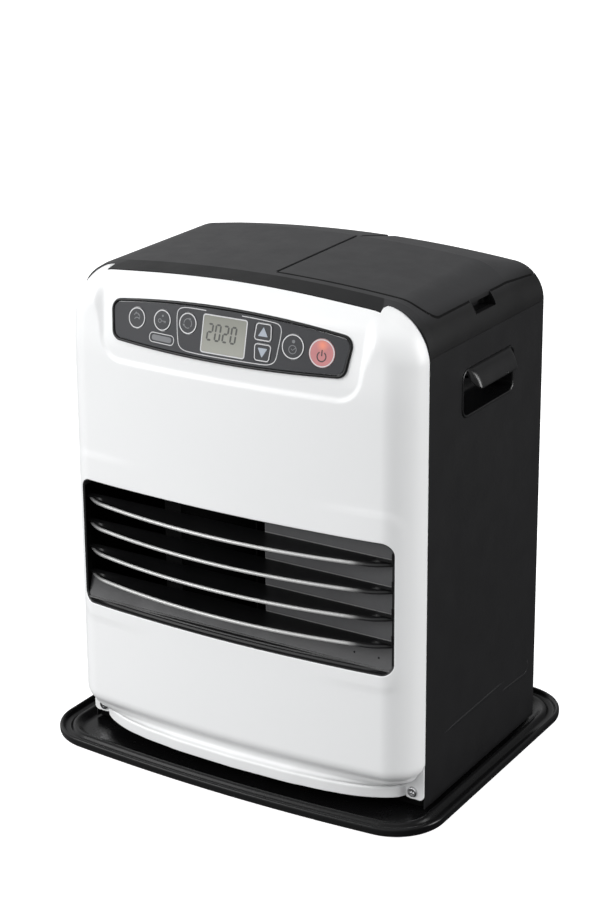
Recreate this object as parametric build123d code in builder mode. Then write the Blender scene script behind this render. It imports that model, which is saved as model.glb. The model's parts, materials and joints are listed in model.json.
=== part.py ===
from build123d import *
import os
from math import sin, cos, tan, atan2, radians, degrees, sqrt

os.makedirs("parts", exist_ok=True)


def save(shape, name):
    """Label a part, move it down to the floor and write its file."""
    placed = shape.moved(Location((0, 0, -FLOOR_Z)))
    placed.label = name
    export_step(placed, "parts/%s.step" % name)


# ---------------------------------------------------------------------------
# Paraffin fan heater.  Millimetres, +Z up, front towards -Y, origin at the
# centre of the drip tray's footprint on the floor.  Heights in this file are
# drawn from the case datum, which lies FLOOR_Z under the floor; each part is
# moved down by that much when it is exported.
# ---------------------------------------------------------------------------
FLOOR_Z = 10.0

# drip tray
TRAY_W, TRAY_D, TRAY_H = 371.0, 299.0, 8.0
TRAY_R = 45.0            # plan corner radius
TRAY_BOW = 10.7          # forward bow of the tray's front edge
TRAY_FLOOR = FLOOR_Z + 1.6   # top of the tray's flat floor

# steel case
CASE_W = 325.8           # overall width of the case
HW = CASE_W / 2          # half width
Y_SEAM = -89.5           # vertical seam, front panel to side panels
Y_BACK = 108.0           # rear face of the case
SHEET = 1.0              # sheet thickness of sides and rear
Z_SIDE0 = 13.0           # lower edge of the side panels
Z_COVER = 388.5          # seam between side panels and top cover
PAN_Z = 14.0             # underside of the base pan

# top cover: crowned sections, from front to rear (y, crest height, shoulder radius)
CROWN = 1300.0
COVER_SECTIONS = [(-100.5, 430.3, 36.0), (-81.5, 434.0, 39.0),
                  (53.5, 437.0, 42.0), (Y_BACK, 426.0, 30.0)]
COVER_T = 2.5
NOTCH_HW = 126.4         # half width of the cover's front tongue

# tank lid outline in plan
LID_X0, LID_X1 = 15.8, 153.8
LID_Y0, LID_Y1 = -71.7, 108.2
LID_T = 2.2
HINGE_DEPTH = 3.2        # hinge axis below the crowned surface

# front panel
FRONT_Y = -128.0         # crest of the bowed front
FRONT_R = 1140.0         # plan radius of the bow
PANEL_T = 1.2
PANEL_Z0 = 49.0          # lower edge of the white front
OUT_X, OUT_Z0, OUT_Z1 = 147.8, 137.1, 245.5   # outlet opening

# control face: a bowed plane that leans back
FACE_Y, FACE_Z, FACE_LEAN = -122.8, 391.5, 12.5
KEY_TRAVEL = 0.7

# louvres
LOUVRE_Z = [228.6, 206.1, 183.4, 160.7]
LOUVRE_Y = -136.5        # crest of the bowed blade edge
LOUVRE_R = 560.0
LOUVRE_REAR = -109.5

# burner axis and fan axis
BX, BY = -68.0, -5.0
FX, FZ, FAN_R = -68.0, 205.0, 74.0

# removable tank
TX, TY = 76.0, 18.0
TANK_LIFT = 18.0


# ---------------------------------------------------------------------------
# shared shapes
# ---------------------------------------------------------------------------
def xz(y):
    """XZ plane at a world y (local x = X, local y = Z, normal -Y)."""
    return Plane.XZ.offset(-y)


def crest(y):
    s = COVER_SECTIONS
    for (ya, za, _), (yb, zb, _) in zip(s, s[1:]):
        if y <= yb:
            return za + (zb - za) * (y - ya) / (yb - ya)
    return s[-1][1]


def cover_solid(inset, y0=None, y1=None, z_base=Z_COVER):
    """Solid under the crowned top, set in by inset on every outer face."""
    with BuildPart() as b:
        for i, (y, zc, r) in enumerate(COVER_SECTIONS):
            if i == 0 and y0 is not None:
                y = y0
            if i == 3 and y1 is not None:
                y = y1
            w, zt = HW - inset, zc - inset
            zs = zt - w * w / (2 * CROWN)
            with BuildSketch(xz(y)) as s:
                with BuildLine():
                    Line((-w, 360), (w, 360))
                    Line((w, 360), (w, zs))
                    ThreePointArc((w, zs), (0, zt), (-w, zs))
                    Line((-w, zs), (-w, 360))
                make_face()
                fillet(s.vertices().group_by(Axis.Y)[-1], r - inset)
        loft(ruled=True)
        with Locations((0, 0, z_base - 50)):
            Box(400, 400, 100, mode=Mode.SUBTRACT)
    return b.part


def lid_outline(grow):
    """Rounded plan outline of the lid, grown by grow, as a tall prism."""
    with BuildPart() as b:
        with BuildSketch(Plane.XY.offset(395)) as s:
            with BuildLine():
                Polyline((LID_X0 - grow, LID_Y0 - grow), (LID_X1 + grow, LID_Y0 - grow),
                         (LID_X1 + grow, LID_Y1 + grow), (LID_X0 - grow, LID_Y1 + grow), close=True)
            make_face()
            v = s.vertices().group_by(Axis.X)[-1].sort_by(Axis.Y)
            fillet(v[0], max(14 + grow, 2.0))
            v = s.vertices().group_by(Axis.X)[-1].sort_by(Axis.Y)
            fillet(v[-1], max(2 + grow, 1.0))
        extrude(amount=60)
    return b.part


def tray_outline(inset):
    """Plan outline of the tray set in by inset, as a sketch on XY."""
    w = TRAY_W / 2 - inset
    yf, yb = -TRAY_D / 2 + inset, TRAY_D / 2 - inset
    with BuildSketch() as s:
        with BuildLine():
            Line((-w, yb), (w, yb))
            Line((w, yb), (w, yf + TRAY_BOW))
            ThreePointArc((w, yf + TRAY_BOW), (0, yf), (-w, yf + TRAY_BOW))
            Line((-w, yf + TRAY_BOW), (-w, yb))
        make_face()
        fillet(s.vertices(), TRAY_R - inset)
    return s.sketch


def panel_plan(inset, y_rear):
    """Plan of the bowed front panel."""
    w = HW - inset
    yc = FRONT_Y + inset
    ye = yc + w * w / (2 * FRONT_R)
    with BuildSketch() as s:
        with BuildLine():
            Line((-w, y_rear), (w, y_rear))
            Line((w, y_rear), (w, ye))
            ThreePointArc((w, ye), (0, yc), (-w, ye))
            Line((-w, ye), (-w, y_rear))
        make_face()
        fillet(s.vertices().group_by(Axis.Y)[0], 25.0 - inset)
    return s.sketch


def panel_solid(inset, y_rear, shoulders):
    """Form of the front panel, set in by inset: its upright shoulders, or its leaning middle."""
    plan = panel_plan(inset, y_rear)
    with BuildPart() as b:
        with BuildSketch(Plane.XY.offset(PANEL_Z0)):
            add(plan)
        extrude(amount=395)
        # side view: upright, then rolling over to the top
        with BuildSketch(Plane.YZ.offset(-200)) as s:
            if shoulders:
                f, r = -128.3 + inset, 29.0 - inset
                with BuildLine():
                    Line((-85, 40), (f, 40))
                    Line((f, 40), (f, 366))
                    Line((f, 366), (-92.6 - r, 397))
                    ThreePointArc((-92.6 - r, 397), (-92.6 - r * sqrt(0.5), 397 + r * sqrt(0.5)), (-92.6, 397 + r))
                    Line((-92.6, 397 + r), (-85, 434.6 - inset))
                    Line((-85, 434.6 - inset), (-85, 40))
                make_face()
            else:
                with BuildLine():
                    Line((-85, 40), (-128.3, 40))
                    Line((-128.3, 40), (-128.3, 366))
                    ThreePointArc((-128.3, 366), (-126.2, 388), (-119.5, 408.5))
                    ThreePointArc((-119.5, 408.5), (-111.8, 421.2), (-101.0, 430.2))
                    ThreePointArc((-101.0, 430.2), (-95.5, 432.6), (-85, 434.6))
                    Line((-85, 434.6), (-85, 40))
                make_face()
                if inset:
                    offset(amount=-inset, kind=Kind.INTERSECTION, mode=Mode.REPLACE)
        extrude(amount=400, mode=Mode.INTERSECT)
        # front view: crowned top with rounded shoulders
        w, zt = HW - inset, 432.4 - inset
        zs = zt - w * w / (2 * CROWN)
        with BuildSketch(xz(-80)) as s2:
            with BuildLine():
                Line((-w, 40), (w, 40))
                Line((w, 40), (w, zs))
                ThreePointArc((w, zs), (0, zt), (-w, zs))
                Line((-w, zs), (-w, 40))
            make_face()
            fillet(s2.vertices().group_by(Axis.Y)[-1], 38.0 - inset)
        extrude(amount=60, mode=Mode.INTERSECT)
    return b.part


# frame of the control face: x = X, y = up the face, z = outward
N_FACE = Vector(0, -cos(radians(FACE_LEAN)), sin(radians(FACE_LEAN)))
V_FACE = Vector(0, sin(radians(FACE_LEAN)), cos(radians(FACE_LEAN)))
P_FACE = Plane(origin=(0, FACE_Y, FACE_Z), x_dir=(1, 0, 0), z_dir=N_FACE)


def face_point(x, h, n=0.0):
    """World point at x, height h up the face and n out from the bowed face."""
    d = n - x * x / (2 * FRONT_R)
    p = Vector(x, FACE_Y, FACE_Z) + V_FACE * h + N_FACE * d
    return (p.X, p.Y, p.Z)


def key_plane(x, h):
    """Plane on the bowed face, its normal square to the face there."""
    a = x / FRONT_R
    z = N_FACE * cos(a) + Vector(1, 0, 0) * sin(a)
    xd = Vector(1, 0, 0) * cos(a) - N_FACE * sin(a)
    return Plane(origin=face_point(x, h), x_dir=xd, z_dir=z)


def bow_band(n0, n1, half=75.0):
    """Slab between two bowed surfaces n0 and n1 out from the control face."""
    pl = Plane(origin=(0, FACE_Y, FACE_Z), x_dir=(1, 0, 0), z_dir=(V_FACE * -1))
    # local y of this plane is outward
    X = 140.0
    e = X * X / (2 * FRONT_R)
    with BuildPart() as b:
        with BuildSketch(pl):
            with BuildLine():
                ThreePointArc((-X, n0 - e), (0, n0), (X, n0 - e))
                Line((X, n0 - e), (X, n1 - e))
                ThreePointArc((X, n1 - e), (0, n1), (-X, n1 - e))
                Line((-X, n1 - e), (-X, n0 - e))
            make_face()
        extrude(amount=half, both=True)
    return b.part


def bezel_outline(inset):
    """Lens-shaped outline of the control panel on the face."""
    i = inset
    with BuildSketch() as s:
        with BuildLine():
            ThreePointArc((-113 + i, 14.8 - i), (0, 22.6 - i), (113 - i, 14.8 - i))
            Line((113 - i, 14.8 - i), (108 - i, -17.4 + i))
            ThreePointArc((108 - i, -17.4 + i), (0, -22.0 + i), (-108 + i, -17.4 + i))
            Line((-108 + i, -17.4 + i), (-113 + i, 14.8 - i))
        make_face()
        fillet(s.vertices(), max(9.0 - i, 2.0))
    return s.sketch


def bezel_prism(inset, n0, n1):
    """The control outline extruded along the face normal from n0 to n1."""
    with BuildPart() as b:
        with BuildSketch(P_FACE.offset(n0)):
            add(bezel_outline(inset))
        extrude(amount=n1 - n0)
    return b.part


def screw_at(plane, r_head, h_head, r_shank, l_shank):
    """Pan head with a cross recess and a shank, standing on a plane."""
    with BuildPart() as b:
        with BuildSketch(plane):
            Circle(r_head)
        extrude(amount=h_head)
        fillet(b.faces().sort_by(Axis(plane.origin, plane.z_dir))[-1].edges(), h_head * 0.45)
        with BuildSketch(plane.offset(h_head - 1.0)):
            Rectangle(r_head * 1.1, 0.9)
            Rectangle(0.9, r_head * 1.1)
        extrude(amount=3, mode=Mode.SUBTRACT)
        with BuildSketch(plane):
            Circle(r_shank)
        extrude(amount=-l_shank)
    return b.part


# ---------------------------------------------------------------------------
# drip tray: rolled rim, gutter and a sloped inner band round a flat floor
# ---------------------------------------------------------------------------
with BuildPart() as drip_tray:
    with BuildSketch(Plane.XY.offset(FLOOR_Z)):
        add(tray_outline(1.6))
    with BuildSketch(Plane.XY.offset(FLOOR_Z + 3.0)):
        add(tray_outline(0.0))
    loft(ruled=True)
    with BuildSketch(Plane.XY.offset(FLOOR_Z + 3.0)):
        add(tray_outline(0.0))
    extrude(amount=TRAY_H - 3.0)
    fillet(drip_tray.faces().sort_by(Axis.Z)[-1].edges(), 1.6)
    # gutter inside the rim
    with BuildSketch(Plane.XY.offset(FLOOR_Z + 3.6)):
        add(tray_outline(4.2))
        add(tray_outline(11.0), mode=Mode.SUBTRACT)
    extrude(amount=8.0, mode=Mode.SUBTRACT)
    # everything inside the gutter is lower than the rim
    with BuildSketch(Plane.XY.offset(FLOOR_Z + 6.6)):
        add(tray_outline(10.9))
    extrude(amount=8.0, mode=Mode.SUBTRACT)
    # sloped band down to the floor
    with BuildSketch(Plane.XY.offset(TRAY_FLOOR)):
        add(tray_outline(21.2))
    with BuildSketch(Plane.XY.offset(FLOOR_Z + 7.2)):
        add(tray_outline(15.0))
    loft(ruled=True, mode=Mode.SUBTRACT)
drip_tray.part.label = "drip_tray"
save(drip_tray.part, "drip_tray")

# ---------------------------------------------------------------------------
# base pan and its rubber feet
# ---------------------------------------------------------------------------
FEET = [(-140, -72), (140, -72), (-140, 90), (140, 90)]
with BuildPart() as rubber_feet:
    with BuildSketch(Plane.XY.offset(TRAY_FLOOR)):
        with Locations(*FEET):
            Circle(10)
    extrude(amount=PAN_Z - TRAY_FLOOR, taper=4)
rubber_feet.part.label = "rubber_feet"
save(rubber_feet.part, "rubber_feet")

PX, PY0, PY1 = HW - SHEET - 0.2, -88.3, 106.7
with BuildPart() as base_pan:
    with BuildSketch(Plane.XY.offset(PAN_Z)):
        with Locations((0, (PY0 + PY1) / 2)):
            RectangleRounded(2 * PX, PY1 - PY0, 4)
    extrude(amount=34 - PAN_Z)
    with BuildSketch(Plane.XY.offset(PAN_Z + SHEET)):
        with Locations((0, (PY0 + PY1) / 2)):
            RectangleRounded(2 * PX - 2 * SHEET, PY1 - PY0 - 2 * SHEET, 3)
    extrude(amount=30, mode=Mode.SUBTRACT)
    # air slots in the floor, under the burner blower
    with BuildSketch(Plane.XY.offset(PAN_Z - 1)):
        with Locations((BX, BY)):
            with PolarLocations(38, 10):
                SlotOverall(14, 4)
    extrude(amount=4, mode=Mode.SUBTRACT)
    # clearance holes for the two front panel screws
    with BuildSketch(xz(PY0 + 3)):
        with Locations((-152.8, 27.0), (152.8, 27.0)):
            Circle(2.1)
    extrude(amount=6, mode=Mode.SUBTRACT)
base_pan.part.label = "base_pan"
save(base_pan.part, "base_pan")

# ---------------------------------------------------------------------------
# side panels: sheet with front and rear returns and a handle cut-out
# ---------------------------------------------------------------------------
HANDLE_Y, HANDLE_Z, HANDLE_L, HANDLE_H = 9.0, 345.3, 91.0, 40.4
REAR_SCREW_Z = [60.0, 210.0, 360.0]


def side_panel(sx):
    x_out, x_in = sx * HW, sx * (HW - SHEET)
    with BuildPart() as b:
        with Locations(((x_out + x_in) / 2, (Y_SEAM + Y_BACK) / 2, (Z_SIDE0 + Z_COVER - 0.2) / 2)):
            Box(SHEET, Y_BACK - Y_SEAM, Z_COVER - 0.2 - Z_SIDE0)
        # front return, behind the white panel
        with Locations((sx * (HW - 6.5), Y_SEAM + 0.5, 210)):
            Box(13, 1.0, 330)
        # rear return, carries the rear panel
        with Locations((sx * (HW - 6.5), Y_BACK - 0.5, 200)):
            Box(13, 1.0, 370)
        # handle cut-out
        with BuildSketch(Plane.YZ.offset(sx * HW - 5)):
            with Locations((HANDLE_Y, HANDLE_Z)):
                RectangleRounded(HANDLE_L, HANDLE_H, 9)
        extrude(amount=10, mode=Mode.SUBTRACT)
        # pilot holes for the rear panel's screws
        with BuildSketch(xz(Y_BACK - 4)):
            with Locations(*[(sx * 155.5, z) for z in REAR_SCREW_Z]):
                Circle(1.9)
        extrude(amount=-8, mode=Mode.SUBTRACT)
    return b.part


left_side_panel = side_panel(-1)
left_side_panel.label = "left_side_panel"
save(left_side_panel, "left_side_panel")
right_side_panel = side_panel(1)
right_side_panel.label = "right_side_panel"
save(right_side_panel, "right_side_panel")


# ---------------------------------------------------------------------------
# carrying handles: a moulded pocket with a hood flared out over it
# ---------------------------------------------------------------------------
def handle(sx):
    with BuildPart() as b:
        # pocket through the cut-out
        with BuildSketch(Plane.YZ.offset(sx * (HW + 0.6))) as s:
            with Locations((HANDLE_Y, HANDLE_Z)):
                RectangleRounded(HANDLE_L - 0.6, HANDLE_H - 0.6, 8.7)
        extrude(amount=-sx * 28.0)
        # retaining lip behind the sheet
        with BuildSketch(Plane.YZ.offset(sx * (HW - SHEET))):
            with Locations((HANDLE_Y, HANDLE_Z)):
                RectangleRounded(HANDLE_L + 8, HANDLE_H + 8, 12)
        extrude(amount=-sx * 2.0)
        # hood: flares from the top of the cut-out to a lip
        with BuildSketch(xz(-28.0)) as s:
            with BuildLine():
                Line((sx * (HW - 3), 365.2), (sx * (HW + 0.6), 365.2))
                ThreePointArc((sx * (HW + 0.6), 365.2), (sx * (HW + 7.2), 360.2), (sx * (HW + 10.8), 350.2))
                Line((sx * (HW + 10.8), 350.2), (sx * (HW + 8.3), 349.2))
                Line((sx * (HW + 8.3), 349.2), (sx * (HW - 3), 349.2))
                Line((sx * (HW - 3), 349.2), (sx * (HW - 3), 365.2))
            make_face()
        extrude(amount=-73)
        # hollow of the pocket
        with BuildSketch(Plane.YZ.offset(sx * (HW + 1))):
            with Locations((HANDLE_Y, HANDLE_Z - 8.2)):
                RectangleRounded(HANDLE_L - 5.0, HANDLE_H - 20.8, 6.5)
        extrude(amount=-sx * 26.5, mode=Mode.SUBTRACT)
        # finger space up behind the hood
        with BuildSketch(xz(-25.6)):
            with BuildLine():
                Polyline((sx * (HW - 25), 340), (sx * (HW + 8.0), 340), (sx * (HW + 8.0), 350.4),
                         (sx * (HW + 5.0), 358.6), (sx * (HW + 0.2), 362.4), (sx * (HW - 10), 362.6),
                         (sx * (HW - 25), 352), close=True)
            make_face()
        extrude(amount=-68.2, mode=Mode.SUBTRACT)
    return b.part


left_handle = handle(-1)
left_handle.label = "left_handle"
save(left_handle, "left_handle")
right_handle = handle(1)
right_handle.label = "right_handle"
save(right_handle, "right_handle")

# ---------------------------------------------------------------------------
# rear panel with the fan's intake ring, and the screws that hold it
# ---------------------------------------------------------------------------
RP_Y0, RP_Y1 = Y_BACK - 2.2, Y_BACK - 1.1
CORD_X, CORD_Z = 120.0, 46.0
with BuildPart() as rear_panel:
    with Locations((0, (RP_Y0 + RP_Y1) / 2, (38.0 + 386.0) / 2)):
        Box(2 * HW - 2.4, RP_Y1 - RP_Y0, 386.0 - 38.0)
    # intake ring
    with BuildSketch(xz(RP_Y1)):
        with Locations((FX, FZ)):
            Circle(FAN_R + 5)
    extrude(amount=20)
    with BuildSketch(xz(RP_Y1 + 4)):
        with Locations((FX, FZ)):
            Circle(FAN_R + 3.5)
    extrude(amount=30, mode=Mode.SUBTRACT)
    # cord hole and screw holes
    with BuildSketch(xz(RP_Y1 + 4)):
        with Locations((CORD_X, CORD_Z)):
            Circle(8.2)
        with Locations(*[(s * 155.5, z) for s in (-1, 1) for z in REAR_SCREW_Z]):
            Circle(2.1)
        with Locations((86, 330)):
            with GridLocations(0, 9, 1, 6):
                SlotOverall(90, 4)
        with Locations((86, 130)):
            with GridLocations(0, 9, 1, 5):
                SlotOverall(90, 4)
    extrude(amount=10, mode=Mode.SUBTRACT)
rear_panel.part.label = "rear_panel"
save(rear_panel.part, "rear_panel")

rear_screws = []
for s in (-1, 1):
    for z in REAR_SCREW_Z:
        pl = Plane(origin=(s * 155.5, Y_BACK, z), x_dir=(1, 0, 0), z_dir=(0, 1, 0))
        rear_screws.append(screw_at(pl, 3.8, 2.2, 1.85, 9.0))
rear_panel_screws = Compound(children=rear_screws)
rear_panel_screws.label = "rear_panel_screws"
save(rear_panel_screws, "rear_panel_screws")

# strain relief bush of the supply cord in the rear panel
with BuildPart() as cord_inlet:
    with BuildSketch(xz(Y_BACK + 6)):
        with Locations((CORD_X, CORD_Z)):
            Circle(10.5)
    extrude(amount=7.1)
    chamfer(cord_inlet.faces().sort_by(Axis.Y)[-1].edges(), 1.5)
    with BuildSketch(xz(Y_BACK - 1.1)):
        with Locations((CORD_X, CORD_Z)):
            Circle(8.0)
    extrude(amount=1.2)
    with BuildSketch(xz(RP_Y0)):
        with Locations((CORD_X, CORD_Z)):
            Circle(9.6)
    extrude(amount=3.0)
    with BuildSketch(xz(Y_BACK + 10)):
        with Locations((CORD_X, CORD_Z)):
            Circle(3.6)
    extrude(amount=30, mode=Mode.SUBTRACT)
cord_inlet.part.label = "cord_inlet"
save(cord_inlet.part, "cord_inlet")

# ---------------------------------------------------------------------------
# top cover
# ---------------------------------------------------------------------------
hy0, hy1 = -72.0, 53.5                      # hinge runs along this stretch
hx = LID_X0 + HINGE_DEPTH
hz0 = crest(hy0) - hx * hx / (2 * CROWN) - HINGE_DEPTH
hz1 = crest(hy1) - hx * hx / (2 * CROWN) - HINGE_DEPTH
H_DIR = Vector(0, hy1 - hy0, hz1 - hz0).normalized()


def hinge_plane(y):
    """Plane square to the hinge axis at a world y."""
    z = hz0 + (hz1 - hz0) * (y - hy0) / (hy1 - hy0)
    return Plane(origin=(hx, y, z), x_dir=(1, 0, 0), z_dir=H_DIR)


def rod(y0, y1, r):
    with BuildPart() as b:
        with BuildSketch(hinge_plane(y0)):
            Circle(r)
        extrude(amount=(y1 - y0) / H_DIR.Y)
    return b.part


cov_0 = cover_solid(0.0)
cov_in = cover_solid(COVER_T, y0=-98.5, y1=Y_BACK - 2.2, z_base=Z_COVER - 6)
cov_ledge_top = cover_solid(COVER_T + 0.05, y0=-98.5, y1=Y_BACK - 2.0, z_base=Z_COVER)
cov_ledge_bot = cover_solid(COVER_T + 2.2, y0=-98.5, y1=Y_BACK - 2.0, z_base=Z_COVER - 6)
lid_gap = lid_outline(0.35)
lid_ledge_in = lid_outline(-4.5)
lid_ledge_out = lid_outline(3.0)

# ledge that carries the lid's rim
with BuildPart() as ledge:
    add(cover_solid(COVER_T - 0.3, y0=-98.5, y1=Y_BACK - 1.5, z_base=Z_COVER))
    add(cov_ledge_bot, mode=Mode.SUBTRACT)
    add(lid_ledge_out, mode=Mode.INTERSECT)
    add(lid_ledge_in, mode=Mode.SUBTRACT)
    # the hinge side is left open
    with Locations((13, -26, 415)):
        Box(30, 168, 60, mode=Mode.SUBTRACT)
ledge_part = ledge.part

# floor of the gap behind the hinge barrel
with BuildPart() as gap_floor:
    add(cover_solid(COVER_T + 1.2, y0=-98.5, y1=Y_BACK - 1.5, z_base=Z_COVER))
    add(cover_solid(COVER_T + 3.0, y0=-98.5, y1=Y_BACK - 1.5, z_base=Z_COVER - 6), mode=Mode.SUBTRACT)
    with Locations((18.5, 81.6, 420)):
        Box(13, 49.2, 40, mode=Mode.INTERSECT)
gap_part = gap_floor.part

# cup under the finger notch: floor, back and end walls
with BuildPart() as notch_cup:
    add(cover_solid(COVER_T - 0.2, y0=-98.5, y1=Y_BACK - 1.5, z_base=Z_COVER))
    with Locations((158.7, 8.5, 408.2)):
        Box(9.0, 38.0, 11.6, mode=Mode.INTERSECT)
with BuildPart() as notch_cup_in:
    add(cover_solid(LID_T + 0.5, y0=-98.5, y1=Y_BACK - 1.5, z_base=Z_COVER))
    with Locations((150.0, 8.5, 408.2)):
        Box(9.4, 38.0, 11.6, mode=Mode.INTERSECT)

with BuildPart() as top_cover:
    add(cov_0)
    add(cov_in, mode=Mode.SUBTRACT)
    add(lid_gap, mode=Mode.SUBTRACT)
    # front: only the tongue between the white shoulders reaches forward
    for s in (-1, 1):
        with Locations((s * (NOTCH_HW + 25), -100, 412)):
            Box(50, 21.4, 60, mode=Mode.SUBTRACT)
    with Locations((0, -95.3, 402)):
        Box(340, 12.2, 36, mode=Mode.SUBTRACT)
    add(ledge_part)
    add(notch_cup.part)
    add(notch_cup_in.part)
    add(gap_part)
    # finger notch beside the lid, open under the lid's edge
    with BuildSketch(Plane.XY.offset(404)):
        with Locations((154.6, 8.5)):
            RectangleRounded(16, 34, 4)
    extrude(amount=40, mode=Mode.SUBTRACT)
    # lug for the front end of the hinge pin, and one behind the barrel
    with BuildSketch(hinge_plane(-77.0)):
        Circle(3.0)
        with Locations((-3, 0.6)):
            Rectangle(6, 4.2)
    extrude(amount=4.6)
    with BuildSketch(hinge_plane(52.6)):
        Circle(2.9)
        with Locations((-3.2, -0.2)):
            Rectangle(6.4, 5.0)
    extrude(amount=4.4)
    add(rod(-80, 60, 1.25), mode=Mode.SUBTRACT)
    # skirt that sits inside the side panels
    with BuildSketch(Plane.XY.offset(Z_COVER - 8)):
        with Locations((0, (-87.5 + 104.6) / 2)):
            Rectangle(2 * (HW - 1.4), 104.6 + 87.5)
            Rectangle(2 * (HW - 3.4), 104.6 + 87.5 - 4, mode=Mode.SUBTRACT)
        with Locations((0, -90)):
            Rectangle(400, 12, mode=Mode.SUBTRACT)
    extrude(amount=10.0)
top_cover.part.label = "top_cover"
save(top_cover.part, "top_cover")

# ---------------------------------------------------------------------------
# tank lid, hinged along its left edge
# ---------------------------------------------------------------------------
with BuildPart() as tank_lid:
    add(cov_0)
    add(cover_solid(LID_T, y0=-98.5, y1=Y_BACK + 1, z_base=Z_COVER - 6), mode=Mode.SUBTRACT)
    add(lid_outline(0.0), mode=Mode.INTERSECT)
    # stiffening rim under the skin
    with BuildPart(mode=Mode.PRIVATE) as rim:
        add(cover_solid(LID_T - 0.3, y0=-98.5, y1=Y_BACK - 1.5, z_base=Z_COVER))
        add(cover_solid(LID_T + 5.0, y0=-98.5, y1=Y_BACK - 1.5, z_base=Z_COVER - 6), mode=Mode.SUBTRACT)
        add(lid_outline(-10.5), mode=Mode.INTERSECT)
        add(lid_outline(-12.3), mode=Mode.SUBTRACT)
        with Locations((15, 10, 415)):
            Box(26, 240, 60, mode=Mode.SUBTRACT)
    add(rim.part)
    # the hinge edge is cut to the barrel's radius, and cut back behind it
    with BuildPart(mode=Mode.PRIVATE) as edge_cut:
        with BuildSketch(hinge_plane(-75.0)):
            with Locations((-5, 0)):
                Rectangle(10, 30)
        extrude(amount=190)
    add(edge_cut.part, mode=Mode.SUBTRACT)
    with Locations((hx, 85, 425)):
        Box(6.4, 67, 40, mode=Mode.SUBTRACT)
    add(rod(LID_Y0, 52.0, 3.1))
    with BuildPart(mode=Mode.PRIVATE) as web:
        with BuildSketch(hinge_plane(LID_Y0)):
            with Locations((2.2, 0.9)):
                Rectangle(4.4, 2.6)
        extrude(amount=(52.0 - LID_Y0) / H_DIR.Y)
    add(web.part)
    add(rod(-80, 60, 1.28), mode=Mode.SUBTRACT)
tank_lid.part.label = "tank_lid"
save(tank_lid.part, "tank_lid")

hinge_pin = rod(-76.8, 56.8, 1.22)
hinge_pin.label = "lid_hinge_pin"
save(hinge_pin, "lid_hinge_pin")

# ---------------------------------------------------------------------------
# front panel: one pressed sheet with bowed front, recess, outlet, lower cove,
# strip and two screw tabs
# ---------------------------------------------------------------------------
def recess_prism(grow, n0, n1):
    with BuildPart() as b:
        with BuildSketch(P_FACE.offset(n0)) as s:
            with Locations((0, 11.5)):
                RectangleRounded(2 * (121 + grow), 97 + 2 * grow, 14 + grow)
        extrude(amount=n1 - n0)
    return b.part


def strip_curve(d):
    """Plan points of the lower strip, set in by d."""
    base = [(0, -129.3), (50, -127.7), (92, -122.7), (118, -116.2), (134, -107.6), (143, -98.0), (146.5, -90.6)]
    out = []
    for i, (x, y) in enumerate(base):
        a = base[max(i - 1, 0)]
        c = base[min(i + 1, len(base) - 1)]
        if i == 0:
            nx, ny = 0.0, 1.0
        else:
            tx, ty = c[0] - a[0], c[1] - a[1]
            L = sqrt(tx * tx + ty * ty)
            nx, ny = -ty / L, tx / L
        out.append((x + nx * d, y + ny * d))
    left = [(-x, y) for x, y in out[1:]][::-1]
    return left + out


def strip_face(d0, d1):
    a, b = strip_curve(d0), strip_curve(d1)
    with BuildSketch() as s:
        with BuildLine():
            Spline(*a)
            Line(a[-1], b[-1])
            Spline(*b[::-1])
            Line(b[0], a[0])
        make_face()
    return s.sketch


def panel_body(inset, y_rear):
    """Whole form: leaning middle between two upright shoulders."""
    with BuildPart() as b:
        add(panel_solid(inset, y_rear, True))
        add(recess_prism(inset, -45.0, 30.0), mode=Mode.SUBTRACT)
        add(panel_solid(inset, y_rear, False))
    return b.part


panel_out = panel_body(0.0, Y_SEAM - 0.2)
panel_in = panel_body(PANEL_T, Y_SEAM + 6)
# the hollow runs out through the rear and stops above the lower edge
with BuildPart() as rec_wall:
    add(recess_prism(PANEL_T, -14.0, 20.0))
    add(bow_band(-PANEL_T, 30.0), mode=Mode.INTERSECT)
    add(panel_out, mode=Mode.INTERSECT)
with BuildPart() as rec_void:
    add(recess_prism(0.0, -14.0, 24.0))
    add(bow_band(0.0, 40.0), mode=Mode.INTERSECT)

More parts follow.
